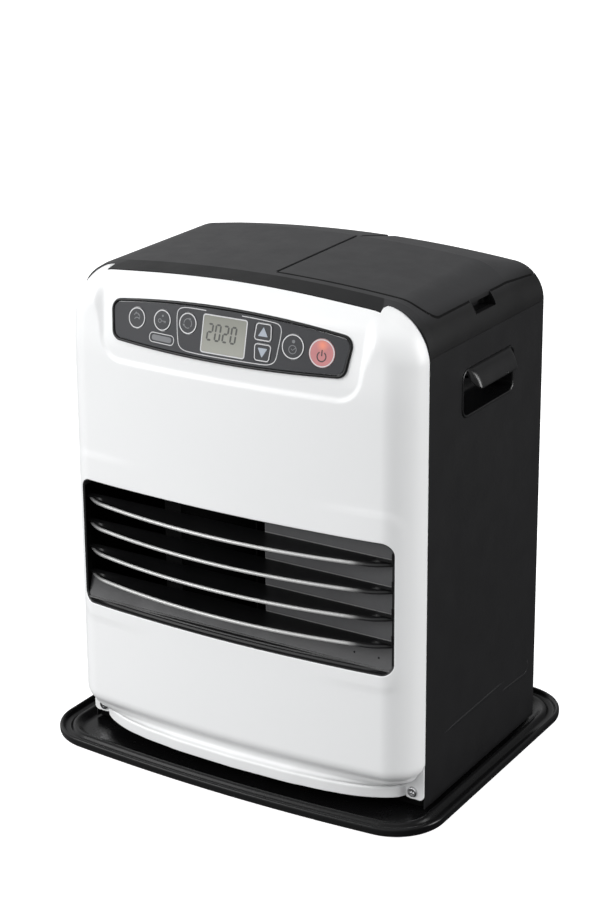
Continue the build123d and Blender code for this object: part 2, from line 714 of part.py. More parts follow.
with BuildPart() as front_panel:
    add(panel_out)
    add(panel_in, mode=Mode.SUBTRACT)
    add(rec_wall.part)
    add(rec_void.part, mode=Mode.SUBTRACT)
    # room for the top cover's tongue
    with Locations((0, -90.8, 420)):
        Box(2 * (NOTCH_HW + 0.5), 20.0, 50, mode=Mode.SUBTRACT)
    # hole behind the control bezel
    add(bezel_prism(2.2, -14, 12), mode=Mode.SUBTRACT)
    # hot air outlet
    with BuildSketch(xz(-80)):
        with Locations((0, (OUT_Z0 + OUT_Z1) / 2)):
            RectangleRounded(2 * OUT_X, OUT_Z1 - OUT_Z0, 9)
    extrude(amount=80, mode=Mode.SUBTRACT)
    # open below, with a folded lip along the lower edge
    with BuildSketch(Plane.XY.offset(PANEL_Z0 - 0.2)):
        add(panel_plan(PANEL_T, Y_SEAM + 10))
    extrude(amount=3.0, mode=Mode.SUBTRACT)
    with BuildSketch(Plane.XY.offset(PANEL_Z0)):
        add(panel_plan(0.3, Y_SEAM - 0.2))
        add(strip_face(9.0, 60.0), mode=Mode.SUBTRACT)
        with Locations((0, -70)):
            Rectangle(286, 66, mode=Mode.SUBTRACT)
    extrude(amount=PANEL_T)
    # cove wall, shelf and strip
    with BuildSketch(Plane.XY.offset(36.5)):
        add(strip_face(9.0, 10.2))
    extrude(amount=13.2)
    with BuildSketch(Plane.XY.offset(36.0)):
        add(strip_face(0.0, 10.2))
    extrude(amount=1.2)
    with BuildSketch(Plane.XY.offset(24.0)):
        add(strip_face(0.0, 1.2))
    extrude(amount=12.5)
    # screw tabs
    for s in (-1, 1):
        with BuildSketch(xz(Y_SEAM - 0.2)) as t:
            with Locations((s * 153.2, 37.0)):
                Rectangle(19.0, 29.2)
            fillet(t.vertices().group_by(Axis.Y)[0], 3)
            with Locations((s * 152.8, 27.0)):
                Circle(2.2, mode=Mode.SUBTRACT)
        extrude(amount=1.2)
        # rear return, flat against the side panel's front return
        with Locations((s * (HW - 6.6), Y_SEAM - 0.8, 210)):
            Box(12.6, 1.2, 300)
front_panel.part.label = "front_panel"
save(front_panel.part, "front_panel")

fp_screws = []
for s in (-1, 1):
    pl = Plane(origin=(s * 152.8, Y_SEAM - 1.4, 27.0), x_dir=(1, 0, 0), z_dir=(0, -1, 0))
    fp_screws.append(screw_at(pl, 4.4, 2.6, 1.9, 9.0))
front_panel_screws = Compound(children=fp_screws)
front_panel_screws.label = "front_panel_screws"
save(front_panel_screws, "front_panel_screws")

# ---------------------------------------------------------------------------
# control unit
# ---------------------------------------------------------------------------
ROUND_KEYS = {"economy_key": (-85.0, 2.6, 8.6), "child_lock_key": (-59.5, 4.2, 8.6),
              "mode_key": (-34.5, 5.2, 8.6), "timer_key": (62.0, 0.8, 9.8), "power_key": (87.0, -0.6, 11.0)}
ARROW_KEYS = {"up_key": (35.2, 8.2, 16.0, 13.6), "down_key": (36.0, -7.6, 15.2, 13.6)}
LCD_W, LCD_H = 39.0, 28.4
CLEAR = 0.3
BOARD_N = -12.5          # upper face of the control board, out from the face

with BuildPart() as control_bezel:
    add(bezel_prism(0.0, -12, 6))
    add(bow_band(0.0, 1.6), mode=Mode.INTERSECT)
    # wall that passes through the panel and holds the board
    with BuildPart(mode=Mode.PRIVATE) as wall:
        add(bezel_prism(2.7, -17.0, 3))
        add(bow_band(-40.0, 0.8), mode=Mode.INTERSECT)
    add(wall.part)
    add(bezel_prism(4.3, -30.0, 12), mode=Mode.SUBTRACT)
    # ledge that carries the overlay
    with BuildPart(mode=Mode.PRIVATE) as seat:
        add(bezel_prism(3.0, -16, 3))
        add(bezel_prism(5.3, -20, 12), mode=Mode.SUBTRACT)
        add(bow_band(-2.6, -1.3), mode=Mode.INTERSECT)
    add(seat.part)
control_bezel.part.label = "control_bezel"
save(control_bezel.part, "control_bezel")

with BuildPart() as keypad_overlay:
    add(bezel_prism(4.4, -12, 6))
    add(bow_band(-1.2, 0.5), mode=Mode.INTERSECT)
    for x, h, r in ROUND_KEYS.values():
        with BuildSketch(key_plane(x, h).offset(-6)):
            Circle(r + CLEAR)
        extrude(amount=12, mode=Mode.SUBTRACT)
    for x, h, w, t in ARROW_KEYS.values():
        with BuildSketch(key_plane(x, h).offset(-6)):
            RectangleRounded(w + 2 * CLEAR, t + 2 * CLEAR, 3 + CLEAR)
        extrude(amount=12, mode=Mode.SUBTRACT)
    with BuildSketch(P_FACE.offset(-6)):
        RectangleRounded(LCD_W + 0.2, LCD_H + 0.2, 1.2)
    extrude(amount=12, mode=Mode.SUBTRACT)
keypad_overlay.part.label = "keypad_overlay"
save(keypad_overlay.part, "keypad_overlay")

# each key: cap, retaining flange behind the overlay, stem down to its switch
KEY_PLANES = {}
for name, (x, h, r) in ROUND_KEYS.items():
    kp = key_plane(x, h)
    KEY_PLANES[name] = kp
    stem = 8.2 - 1.0 - x * x / (2 * FRONT_R)
    with BuildPart() as key:
        with BuildSketch(kp.offset(-2.6)):
            Circle(r)
        extrude(amount=2.6 + 0.7)
        fillet(key.faces().sort_by(Axis(kp.origin, kp.z_dir))[-1].edges(), 0.3)
        with BuildSketch(kp.offset(-2.6)):
            Circle(r + 1.1)
        extrude(amount=1.0)
        with BuildSketch(kp.offset(-stem)):
            Circle(1.8)
        extrude(amount=stem - 2.0)
    key.part.label = name
    save(key.part, name)
for name, (x, h, w, t) in ARROW_KEYS.items():
    kp = key_plane(x, h)
    KEY_PLANES[name] = kp
    stem = 8.2 - 1.0 - x * x / (2 * FRONT_R)
    with BuildPart() as key:
        with BuildSketch(kp.offset(-2.6)):
            RectangleRounded(w, t, 3)
        extrude(amount=2.6 + 0.7)
        fillet(key.faces().sort_by(Axis(kp.origin, kp.z_dir))[-1].edges(), 0.3)
        with BuildSketch(kp.offset(-2.6)):
            RectangleRounded(w + 1.4, t + 0.9, 3.2)
        extrude(amount=1.0)
        with BuildSketch(kp.offset(-stem)):
            Circle(1.8)
        extrude(amount=stem - 2.0)
    key.part.label = name
    save(key.part, name)

with BuildPart() as display_window:
    with BuildSketch(P_FACE.offset(-1.4)):
        RectangleRounded(LCD_W, LCD_H, 1.0)
    extrude(amount=1.75)
display_window.part.label = "display_window"
save(display_window.part, "display_window")

with BuildPart() as lcd_display:
    with BuildSketch(P_FACE.offset(BOARD_N)):
        RectangleRounded(LCD_W + 1.5, LCD_H + 2.5, 1.0)
    extrude(amount=-BOARD_N - 1.7)
    # contact legs at the lower edge
    with BuildSketch(P_FACE.offset(BOARD_N - 1.6)):
        with Locations((0, -LCD_H / 2)):
            with GridLocations(4.0, 0, 9, 1):
                Rectangle(0.8, 0.8)
    extrude(amount=1.8)
lcd_display.part.label = "lcd_display"
save(lcd_display.part, "lcd_display")

with BuildPart() as control_board:
    with BuildSketch(P_FACE.offset(BOARD_N - 1.6)):
        add(bezel_outline(5.0))
        Rectangle(198, 60, mode=Mode.INTERSECT)
        with Locations((0, -LCD_H / 2)):
            with GridLocations(4.0, 0, 9, 1):
                Rectangle(1.1, 1.1, mode=Mode.SUBTRACT)
    extrude(amount=1.6)
    # parts on its rear face
    with BuildSketch(P_FACE.offset(BOARD_N - 1.6)):
        with Locations((-60, 0), (-10, 4)):
            Rectangle(14, 10)
        with Locations((60, -4)):
            Rectangle(24, 8)
    extrude(amount=-1.8)
control_board.part.label = "control_board"
save(control_board.part, "control_board")

switches = []
for name in KEY_PLANES:
    if name in ROUND_KEYS:
        x, h = ROUND_KEYS[name][:2]
    else:
        x, h = ARROW_KEYS[name][:2]
    with BuildPart() as sw:
        with BuildSketch(P_FACE.offset(BOARD_N)):
            with Locations((x, h)):
                Rectangle(6, 6)
        extrude(amount=3.4)
        with BuildSketch(P_FACE.offset(BOARD_N)):
            with Locations((x, h)):
                Circle(1.7)
        extrude(amount=4.3)
    switches.append(sw.part)
tact_switches = Compound(children=switches)
tact_switches.label = "tact_switches"
save(tact_switches, "tact_switches")

with BuildPart() as control_rear_cover:
    add(bezel_prism(2.7, -18.6, -17.05))
    with BuildSketch(P_FACE.offset(-17.2)):
        with Locations((0, -0.8)):
            with GridLocations(168, 18, 2, 2):
                Circle(2.4)
    extrude(amount=3.1)
    with BuildSketch(P_FACE.offset(-20)):
        with Locations((60, -14)):
            Rectangle(24, 5)
    extrude(amount=4, mode=Mode.SUBTRACT)
control_rear_cover.part.label = "control_rear_cover"
save(control_rear_cover.part, "control_rear_cover")

# ---------------------------------------------------------------------------
# hot air outlet: four bowed blades, their brackets, and the plates behind
# ---------------------------------------------------------------------------
BLADE_X = 146.6


def blade_plan(front, rear, x):
    """Plan of a blade: bowed front edge, straight rear edge."""
    ye = front + x * x / (2 * LOUVRE_R)
    with BuildSketch() as s:
        with BuildLine():
            ThreePointArc((-x, ye), (0, front), (x, ye))
            Line((x, ye), (x, rear))
            Line((x, rear), (-x, rear))
            Line((-x, rear), (-x, ye))
        make_face()
    return s.sketch


for i, z in enumerate(LOUVRE_Z):
    with BuildPart() as blade:
        with BuildSketch(Plane.XY.offset(z - 8)):
            add(blade_plan(LOUVRE_Y, LOUVRE_REAR, BLADE_X))
        extrude(amount=16)
        with BuildSketch(Plane.YZ.offset(-150)):
            with BuildLine():
                Polyline((-140, z - 1.2), (-140, z), (-126, z), (-106, z + 2.4), (-106, z + 1.2), (-126, z - 1.2), close=True)
            make_face()
        extrude(amount=300, mode=Mode.INTERSECT)
        # rolled front lip
        with BuildSketch(Plane.XY.offset(z - 2.8)):
            add(blade_plan(LOUVRE_Y, LOUVRE_REAR, BLADE_X))
            add(blade_plan(LOUVRE_Y + 1.4, LOUVRE_REAR + 5, BLADE_X + 5), mode=Mode.SUBTRACT)
        extrude(amount=3.1)
        # upturned end ears, spot welded to the brackets
        for s in (-1, 1):
            with Locations((s * (BLADE_X - 0.5), -112.5, z + 5.0)):
                Box(1.0, 6.0, 9.0)
    blade.part.label = "louvre_blade_%d" % (i + 1)
    save(blade.part, "louvre_blade_%d" % (i + 1))

brackets = []
for s in (-1, 1):
    with BuildPart() as br:
        with Locations((s * (BLADE_X + 0.6), -110.6, 191.3)):
            Box(1.2, 10.0, 107.6)
        with Locations((s * (BLADE_X + 4.6), -106.2, 191.3)):
            Box(9.2, 1.2, 107.6)
    brackets.append(br.part)
with BuildPart() as br:
    with Locations((-62.0, -108.85, 196.0)):
        Box(16.0, 1.2, 92.0)
brackets.append(br.part)
louvre_brackets = Compound(children=brackets)
louvre_brackets.label = "louvre_brackets"
save(louvre_brackets, "louvre_brackets")

with BuildPart() as outlet_blanking_plate:
    with Locations((86.5, -108.85, 191.3)):
        Box(119.0, 1.2, 116.0)
    with Locations((27.6, -104.3, 191.3)):
        Box(1.2, 8.0, 116.0)
    with BuildSketch(xz(-100)):
        with Locations(*[(34.0, z - 8.0) for z in LOUVRE_Z], *[(37.5, z - 8.0) for z in LOUVRE_Z]):
            Circle(0.8)
    extrude(amount=12, mode=Mode.SUBTRACT)
outlet_blanking_plate.part.label = "outlet_blanking_plate"
save(outlet_blanking_plate.part, "outlet_blanking_plate")

with BuildPart() as outlet_floor_plate:
    with BuildSketch(Plane.YZ.offset(-145.8)):
        with BuildLine():
            Polyline((-119.0, 143.0), (-117.8, 143.0), (-117.8, 145.6), (-110.2, 149.6), (-110.2, 151.0),
                     (-119.0, 146.4), close=True)
        make_face()
    extrude(amount=291.6)
    with BuildSketch(Plane.XY.offset(130)):
        with Locations((114.0, -114.2), (137.0, -114.2)):
            Circle(1.3)
    extrude(amount=40, mode=Mode.SUBTRACT)
outlet_floor_plate.part.label = "outlet_floor_plate"
save(outlet_floor_plate.part, "outlet_floor_plate")

# ---------------------------------------------------------------------------
# air duct, combustion chamber, burner
# ---------------------------------------------------------------------------
DX0, DX1, DY0, DY1, DZ0, DZ1 = -148.5, 16.0, -104.4, 74.0, 121.0, 300.0
with BuildPart() as air_duct:
    with Locations(((DX0 + DX1) / 2, (DY0 + DY1) / 2, (DZ0 + DZ1) / 2)):
        Box(DX1 - DX0, DY1 - DY0, DZ1 - DZ0)
        Box(DX1 - DX0 - 2, DY1 - DY0 + 2, DZ1 - DZ0 - 2, mode=Mode.SUBTRACT)
    with BuildSketch(Plane.XY.offset(DZ0 - 1)):
        with Locations((BX, BY)):
            Circle(55.6)
    extrude(amount=4, mode=Mode.SUBTRACT)
air_duct.part.label = "air_duct"
save(air_duct.part, "air_duct")

with BuildPart() as combustion_chamber:
    with BuildSketch(Plane.XY.offset(118)):
        with Locations((BX, BY)):
            Circle(55)
    extrude(amount=166)
    fillet(combustion_chamber.faces().sort_by(Axis.Z)[-1].edges(), 8)
    with BuildPart(mode=Mode.PRIVATE) as chamber_void:
        with BuildSketch(Plane.XY.offset(119.2)):
            with Locations((BX, BY)):
                Circle(53.8)
        extrude(amount=163.6)
        fillet(chamber_void.faces().sort_by(Axis.Z)[-1].edges(), 6.8)
    add(chamber_void.part, mode=Mode.SUBTRACT)
    with BuildSketch(Plane.XY.offset(117)):
        with Locations((BX, BY)):
            Circle(28)
    extrude(amount=4, mode=Mode.SUBTRACT)
    # exhaust holes near the top
    for k in range(12):
        pl = Plane(origin=(BX, BY, 262), x_dir=(0, 0, 1),
                   z_dir=(cos(radians(15 + 30 * k)), sin(radians(15 + 30 * k)), 0))
        with BuildSketch(pl.offset(45)):
            Circle(5)
        extrude(amount=20, mode=Mode.SUBTRACT)
combustion_chamber.part.label = "combustion_chamber"
save(combustion_chamber.part, "combustion_chamber")

with BuildPart() as burner_pot:
    with BuildSketch(Plane.XY.offset(76)):
        with Locations((BX, BY)):
            Circle(34)
    extrude(amount=42)
    with BuildSketch(Plane.XY.offset(114)):
        with Locations((BX, BY)):
            Circle(44)
    extrude(amount=4)
    with BuildSketch(Plane.XY.offset(82)):
        with Locations((BX, BY)):
            Circle(28)
    extrude(amount=40, mode=Mode.SUBTRACT)
    with BuildSketch(Plane.XY.offset(75)):
        with Locations((BX, BY)):
            with PolarLocations(18, 8):
                Circle(3)
    extrude(amount=10, mode=Mode.SUBTRACT)
    # holes of the fuel pipe, the igniter and the flame sensor
    with BuildSketch(xz(BY - 20)):
        with Locations((BX, 96)):
            Circle(2.05)
    extrude(amount=30, mode=Mode.SUBTRACT)
    with BuildSketch(xz(BY + 60)):
        with Locations((BX, 98)):
            Circle(4.05)
    extrude(amount=45, mode=Mode.SUBTRACT)
    with BuildSketch(Plane.YZ.offset(BX - 60)):
        with Locations((BY, 104)):
            Circle(3.05)
    extrude(amount=45, mode=Mode.SUBTRACT)
burner_pot.part.label = "burner_pot"
save(burner_pot.part, "burner_pot")

with BuildPart() as igniter:
    with BuildSketch(xz(BY + 62)):
        with Locations((BX, 98)):
            Circle(4.0)
    extrude(amount=40)
    with BuildSketch(xz(BY + 50)):
        with Locations((BX, 98)):
            RegularPolygon(7.5, 6)
    extrude(amount=14)
igniter.part.label = "igniter"
save(igniter.part, "igniter")

with BuildPart() as flame_sensor:
    with BuildSketch(Plane.YZ.offset(BX - 62)):
        with Locations((BY, 104)):
            Circle(3.0)
    extrude(amount=46)
    with BuildSketch(Plane.YZ.offset(BX - 50)):
        with Locations((BY, 104)):
            Circle(5.5)
    extrude(amount=14)
flame_sensor.part.label = "flame_sensor"
save(flame_sensor.part, "flame_sensor")

# combustion air blower below the burner
with BuildPart() as blower_housing:
    with BuildSketch(Plane.XY.offset(35)):
        with Locations((BX, BY)):
            Circle(52)
    extrude(amount=41)
    with BuildSketch(Plane.XY.offset(37)):
        with Locations((BX, BY)):
            Circle(50)
    extrude(amount=37, mode=Mode.SUBTRACT)
    with BuildSketch(Plane.XY.offset(30)):
        with Locations((BX, BY)):
            Circle(12)
            with PolarLocations(30, 6):
                SlotOverall(12, 8, rotation=90)
    extrude(amount=10, mode=Mode.SUBTRACT)
    with BuildSketch(Plane.XY.offset(70)):
        with Locations((BX, BY)):
            Circle(22)
    extrude(amount=10, mode=Mode.SUBTRACT)
    with BuildSketch(Plane.XY.offset(PAN_Z + SHEET)):
        with Locations((BX, BY)):
            with PolarLocations(47.5, 3, start_angle=30):
                Circle(4)
    extrude(amount=35 - PAN_Z - SHEET + 0.5)
blower_housing.part.label = "blower_housing"
save(blower_housing.part, "blower_housing")

with BuildPart() as blower_motor:
    with BuildSketch(Plane.XY.offset(PAN_Z + SHEET)):
        with Locations((BX, BY)):
            Circle(24)
    extrude(amount=19)
    fillet(blower_motor.faces().sort_by(Axis.Z)[-1].edges(), 2)
    with BuildSketch(Plane.XY.offset(30)):
        with Locations((BX, BY)):
            Circle(2.5)
    extrude(amount=28)
blower_motor.part.label = "blower_motor"
save(blower_motor.part, "blower_motor")

with BuildPart() as blower_impeller:
    with BuildSketch(Plane.XY.offset(42)):
        with Locations((BX, BY)):
            Circle(44)
    extrude(amount=1.6)
    with BuildSketch(Plane.XY.offset(42)):
        with Locations((BX, BY)):
            Circle(8)
    extrude(amount=18)
    for k in range(24):
        with BuildSketch(Plane.XY.offset(43)):
            with Locations((BX, BY)):
                with Locations(Location((38 * cos(radians(15 * k)), 38 * sin(radians(15 * k)), 0), (0, 0, 15 * k + 40))):
                    Rectangle(11, 1.2)
        extrude(amount=22)
    with BuildSketch(Plane.XY.offset(63.5)):
        with Locations((BX, BY)):
            Circle(44)
            Circle(33, mode=Mode.SUBTRACT)
    extrude(amount=1.5)
    with BuildSketch(Plane.XY.offset(30)):
        with Locations((BX, BY)):
            Circle(2.55)
    extrude(amount=28.6, mode=Mode.SUBTRACT)
blower_impeller.part.label = "blower_impeller"
save(blower_impeller.part, "blower_impeller")

# ---------------------------------------------------------------------------
# circulation fan, its motor, the guard and the dust filter
# ---------------------------------------------------------------------------
with BuildPart() as circulation_fan:
    with BuildSketch(xz(104.0)):
        with Locations((FX, FZ)):
            Circle(20)
    extrude(amount=18)
    fillet(circulation_fan.faces().sort_by(Axis.Y)[0].edges(), 3)
    with BuildSketch(xz(105.0)):
        with Locations((FX, FZ)):
            Circle(15)
    extrude(amount=16, mode=Mode.SUBTRACT)
    with BuildSketch(xz(104.0)):
        with Locations((FX, FZ)):
            Circle(6)
    extrude(amount=16)
    for k in range(5):
        a = 72 * k
        # blade: root and tip sections joined by a ruled loft
        ca, sa = cos(radians(a)), sin(radians(a))
        root = Plane(origin=(FX + 18 * ca, 96, FZ + 18 * sa), x_dir=(-sa, 0, ca), z_dir=(ca, 0, sa))
        tip = Plane(origin=(FX + FAN_R * ca, 96, FZ + FAN_R * sa), x_dir=(-sa, 0, ca), z_dir=(ca, 0, sa))
        with BuildSketch(root):
            Rectangle(17, 1.8, rotation=38)
        with BuildSketch(tip):
            Rectangle(44, 1.4, rotation=18)
        loft(ruled=True)
    with BuildSketch(xz(110)):
        with Locations((FX, FZ)):
            Circle(3.05)
    extrude(amount=22, mode=Mode.SUBTRACT)
circulation_fan.part.label = "circulation_fan"
save(circulation_fan.part, "circulation_fan")

GX0, GX1, GZ0, GZ1, GY = -151.0, 15.0, 122.0, 288.0, 138.0
GCX, GCZ = (GX0 + GX1) / 2, (GZ0 + GZ1) / 2
with BuildPart() as fan_motor:
    with BuildSketch(xz(GY - 2.2)):
        with Locations((FX, FZ)):
            Circle(30)
    extrude(amount=24)
    fillet(fan_motor.faces().sort_by(Axis.Y)[0].edges(), 3)
    with BuildSketch(xz(115)):
        with Locations((FX, FZ)):
            Circle(3.0)
    extrude(amount=25)
fan_motor.part.label = "fan_motor"
save(fan_motor.part, "fan_motor")

with BuildPart() as fan_guard:
    with BuildSketch(xz(Y_BACK + 0.05)):
        with Locations((GCX, GCZ)):
            RectangleRounded(GX1 - GX0, GZ1 - GZ0, 12)
    extrude(amount=-(GY - Y_BACK - 0.05))
    fillet(fan_guard.faces().sort_by(Axis.Y)[-1].edges(), 3)
    with BuildSketch(xz(Y_BACK - 1)):
        with Locations((GCX, GCZ)):
            RectangleRounded(GX1 - GX0 - 4.4, GZ1 - GZ0 - 4.4, 10)
    extrude(amount=-(GY - Y_BACK - 1.2), mode=Mode.SUBTRACT)
    # intake slots in the rear face, left whole behind the motor
    with BuildSketch(xz(GY - 6)):
        with Locations((GCX, GCZ)):
            with GridLocations(0, 8.0, 1, 16):
                SlotOverall(130, 4.6)
            Circle(33, mode=Mode.SUBTRACT)
            Rectangle(5, 150, mode=Mode.SUBTRACT)
    extrude(amount=-12, mode=Mode.SUBTRACT)
    # slots in the side walls
    with BuildSketch(Plane.YZ.offset(GX0 - 2)):
        with Locations((123, GCZ)):
            with GridLocations(0, 10, 1, 12):
                SlotOverall(16, 4)
    extrude(amount=200, mode=Mode.SUBTRACT)
    # rails for the filter: a foot, a wall and a lip on each side
    for s, x in ((-1, GX0 + 6.0), (1, GX1 - 6.0)):
        with Locations((x, GY + 2.0, GCZ - 3)):
            Box(2.4, 4.6, GZ1 - GZ0 - 12)
        with Locations((x - s * 1.6, GY + 4.0, GCZ - 3)):
            Box(5.6, 1.4, GZ1 - GZ0 - 12)
    with Locations((GCX, GY + 2.0, GZ0 + 3.2)):
        Box(GX1 - GX0 - 12, 4.6, 2.4)
fan_guard.part.label = "fan_guard"
save(fan_guard.part, "fan_guard")

with BuildPart() as rear_filter:
    fx0, fx1 = GX0 + 7.6, GX1 - 7.6
    fz0, fz1 = GZ0 + 4.8, GZ1 - 6.0
    with Locations(((fx0 + fx1) / 2, GY + 1.7, (fz0 + fz1) / 2)):
        Box(fx1 - fx0, 2.6, fz1 - fz0)
    # woven mesh field is thinner than the frame
    with Locations(((fx0 + fx1) / 2, GY + 2.9, (fz0 + fz1) / 2)):
        Box(fx1 - fx0 - 18, 1.6, fz1 - fz0 - 18, mode=Mode.SUBTRACT)
    with Locations(((fx0 + fx1) / 2, GY + 0.4, (fz0 + fz1) / 2)):
        Box(fx1 - fx0 - 18, 1.4, fz1 - fz0 - 18, mode=Mode.SUBTRACT)
    # cross bars and grip tab
    with Locations(((fx0 + fx1) / 2, GY + 1.7, (fz0 + fz1) / 2)):
        Box(4, 2.6, fz1 - fz0)
        Box(fx1 - fx0, 2.6, 4)
    with Locations(((fx0 + fx1) / 2, GY + 4.6, fz1 - 4.0)):
        Box(44, 4.0, 3.0)
rear_filter.part.label = "rear_filter"
save(rear_filter.part, "rear_filter")

# ---------------------------------------------------------------------------
# fuel: sump, receiver, pump, pipe, removable tank with cap, gauge and handle
# ---------------------------------------------------------------------------
SZ0, SZ1 = PAN_Z + SHEET, 52.0
with BuildPart() as fuel_sump:
    with BuildSketch(Plane.XY.offset(SZ0)):
        with Locations((69, 15)):
            RectangleRounded(166, 168, 14)
    extrude(amount=SZ1 - SZ0)
    fillet(fuel_sump.faces().sort_by(Axis.Z)[0].edges(), 4)
    with BuildPart(mode=Mode.PRIVATE) as sump_void:
        with BuildSketch(Plane.XY.offset(SZ0 + 1)):
            with Locations((69, 15)):
                RectangleRounded(164, 166, 13)
        extrude(amount=SZ1 - SZ0 - 2)
        fillet(sump_void.faces().sort_by(Axis.Z)[0].edges(), 3)
    add(sump_void.part, mode=Mode.SUBTRACT)
    with BuildSketch(Plane.XY.offset(SZ1 - 5)):
        with Locations((TX, TY)):
            Circle(29.2)
        with Locations((4, -42)):
            Circle(9.0)
    extrude(amount=10, mode=Mode.SUBTRACT)
fuel_sump.part.label = "fuel_sump"
save(fuel_sump.part, "fuel_sump")

with BuildPart() as tank_receiver:
    with BuildSketch(Plane.XY.offset(36)):
        with Locations((TX, TY)):
            Circle(29)
    extrude(amount=39)
    with BuildSketch(Plane.XY.offset(SZ1)):
        with Locations((TX, TY)):
            Circle(34)
    extrude(amount=2)
    with BuildSketch(Plane.XY.offset(38)):
        with Locations((TX, TY)):
            Circle(27.5)
    extrude(amount=40, mode=Mode.SUBTRACT)
    # valve pin on a three-armed spider
    with BuildSketch(Plane.XY.offset(37)):
        with Locations((TX, TY)):
            Circle(3)
    extrude(amount=37)
    with BuildSketch(Plane.XY.offset(44)):
        with Locations((TX, TY)):
            with PolarLocations(14, 3):
                Rectangle(28.4, 3)
    extrude(amount=3)
tank_receiver.part.label = "tank_receiver"
save(tank_receiver.part, "tank_receiver")

with BuildPart() as tank_compartment:
    with BuildSketch(Plane.XY.offset(58)):
        with Locations((TX, TY)):
            RectangleRounded(116, 166, 8)
    extrude(amount=344)
    with BuildSketch(Plane.XY.offset(59)):
        with Locations((TX, TY)):
            RectangleRounded(114, 164, 7)
    extrude(amount=350, mode=Mode.SUBTRACT)
    with BuildSketch(Plane.XY.offset(55)):
        with Locations((TX, TY)):
            Circle(31)
    extrude(amount=10, mode=Mode.SUBTRACT)
    # two rests under the tank
    for s in (-1, 1):
        with Locations((TX + s * 38, TY, 75.1)):
            Box(6, 120, 33.2)
tank_compartment.part.label = "tank_compartment"
save(tank_compartment.part, "tank_compartment")

TANK_Z0, TANK_Z1 = 92.0, 360.0
PIVOT_Z, PIVOT_Y0, PIVOT_Y1, BAIL = TANK_Z1 + 6.0, TY - 46.0, TY + 46.0, 42.0
with BuildPart() as fuel_tank:
    with BuildSketch(Plane.XY.offset(TANK_Z0)):
        with Locations((TX, TY)):
            RectangleRounded(106, 154, 22)
    extrude(amount=TANK_Z1 - TANK_Z0)
    fillet(fuel_tank.faces().sort_by(Axis.Z)[-1].edges(), 9)
    fillet(fuel_tank.faces().sort_by(Axis.Z)[0].edges(), 9)
    with BuildPart(mode=Mode.PRIVATE) as tank_void:
        with BuildSketch(Plane.XY.offset(TANK_Z0 + 1)):
            with Locations((TX, TY)):
                RectangleRounded(104, 152, 21)
        extrude(amount=TANK_Z1 - TANK_Z0 - 2)
        fillet(tank_void.faces().sort_by(Axis.Z)[-1].edges(), 8)
        fillet(tank_void.faces().sort_by(Axis.Z)[0].edges(), 8)
    add(tank_void.part, mode=Mode.SUBTRACT)
    # filler neck
    with BuildSketch(Plane.XY.offset(78)):
        with Locations((TX, TY)):
            Circle(20)
    extrude(amount=16)
    with BuildSketch(Plane.XY.offset(70)):
        with Locations((TX, TY)):
            Circle(18.4)
    extrude(amount=40, mode=Mode.SUBTRACT)
    # ears of the carrying handle
    for y in (PIVOT_Y0, PIVOT_Y1):
        with BuildSketch(xz(y + 1.5)):
            with BuildLine():
                Polyline((TX - 9, TANK_Z1 - 1), (TX + 9, TANK_Z1 - 1), (TX + 6, PIVOT_Z + 5),
                         (TX - 6, PIVOT_Z + 5), close=True)
            make_face()
            with Locations((TX, PIVOT_Z)):
                Circle(2.56, mode=Mode.SUBTRACT)
        extrude(amount=3)
fuel_tank.part.label = "fuel_tank"
save(fuel_tank.part, "fuel_tank")

with BuildPart() as tank_cap:
    with BuildSketch(Plane.XY.offset(71)):
        with Locations((TX, TY)):
            Circle(25)
    extrude(amount=20)
    chamfer(tank_cap.faces().sort_by(Axis.Z)[0].edges(), 1.5)
    with BuildSketch(Plane.XY.offset(77.5)):
        with Locations((TX, TY)):
            Circle(20.2)
    extrude(amount=20, mode=Mode.SUBTRACT)
    with BuildSketch(Plane.XY.offset(70)):
        with Locations((TX, TY)):
            Circle(5)
    extrude(amount=10, mode=Mode.SUBTRACT)
    # grip ribs
    with BuildSketch(Plane.XY.offset(74)):
        with Locations((TX, TY)):
            with PolarLocations(25, 24):
                Circle(0.9)
    extrude(amount=16)
tank_cap.part.label = "tank_cap"
save(tank_cap.part, "tank_cap")

with BuildPart() as tank_gauge:
    with BuildSketch(Plane.XY.offset(TANK_Z1)):
        with Locations((TX + 18, TY)):
            Circle(14)
    extrude(amount=4)
    fillet(tank_gauge.faces().sort_by(Axis.Z)[-1].edges(), 1.2)
tank_gauge.part.label = "tank_gauge"
save(tank_gauge.part, "tank_gauge")

with BuildPart() as tank_handle:
    with BuildLine():
        FilletPolyline((TX, PIVOT_Y0 - 1, PIVOT_Z), (TX, PIVOT_Y0 - 8, PIVOT_Z), (TX + BAIL, PIVOT_Y0 - 8, PIVOT_Z),
                       (TX + BAIL, PIVOT_Y1 + 8, PIVOT_Z), (TX, PIVOT_Y1 + 8, PIVOT_Z),
                       (TX, PIVOT_Y1 + 1, PIVOT_Z), radius=4.5)
    with BuildSketch(Plane(origin=(TX, PIVOT_Y0 - 1, PIVOT_Z), x_dir=(1, 0, 0), z_dir=(0, -1, 0))):
        Circle(2.5)
    sweep()
    for y0, y1 in ((PIVOT_Y0 + 3.0, PIVOT_Y0 - 1.5), (PIVOT_Y1 - 3.0, PIVOT_Y1 + 1.5)):
        with BuildSketch(xz(y0)):
            with Locations((TX, PIVOT_Z)):
                Circle(2.5)
        extrude(amount=y0 - y1)
tank_handle.part.label = "tank_handle"
save(tank_handle.part, "tank_handle")

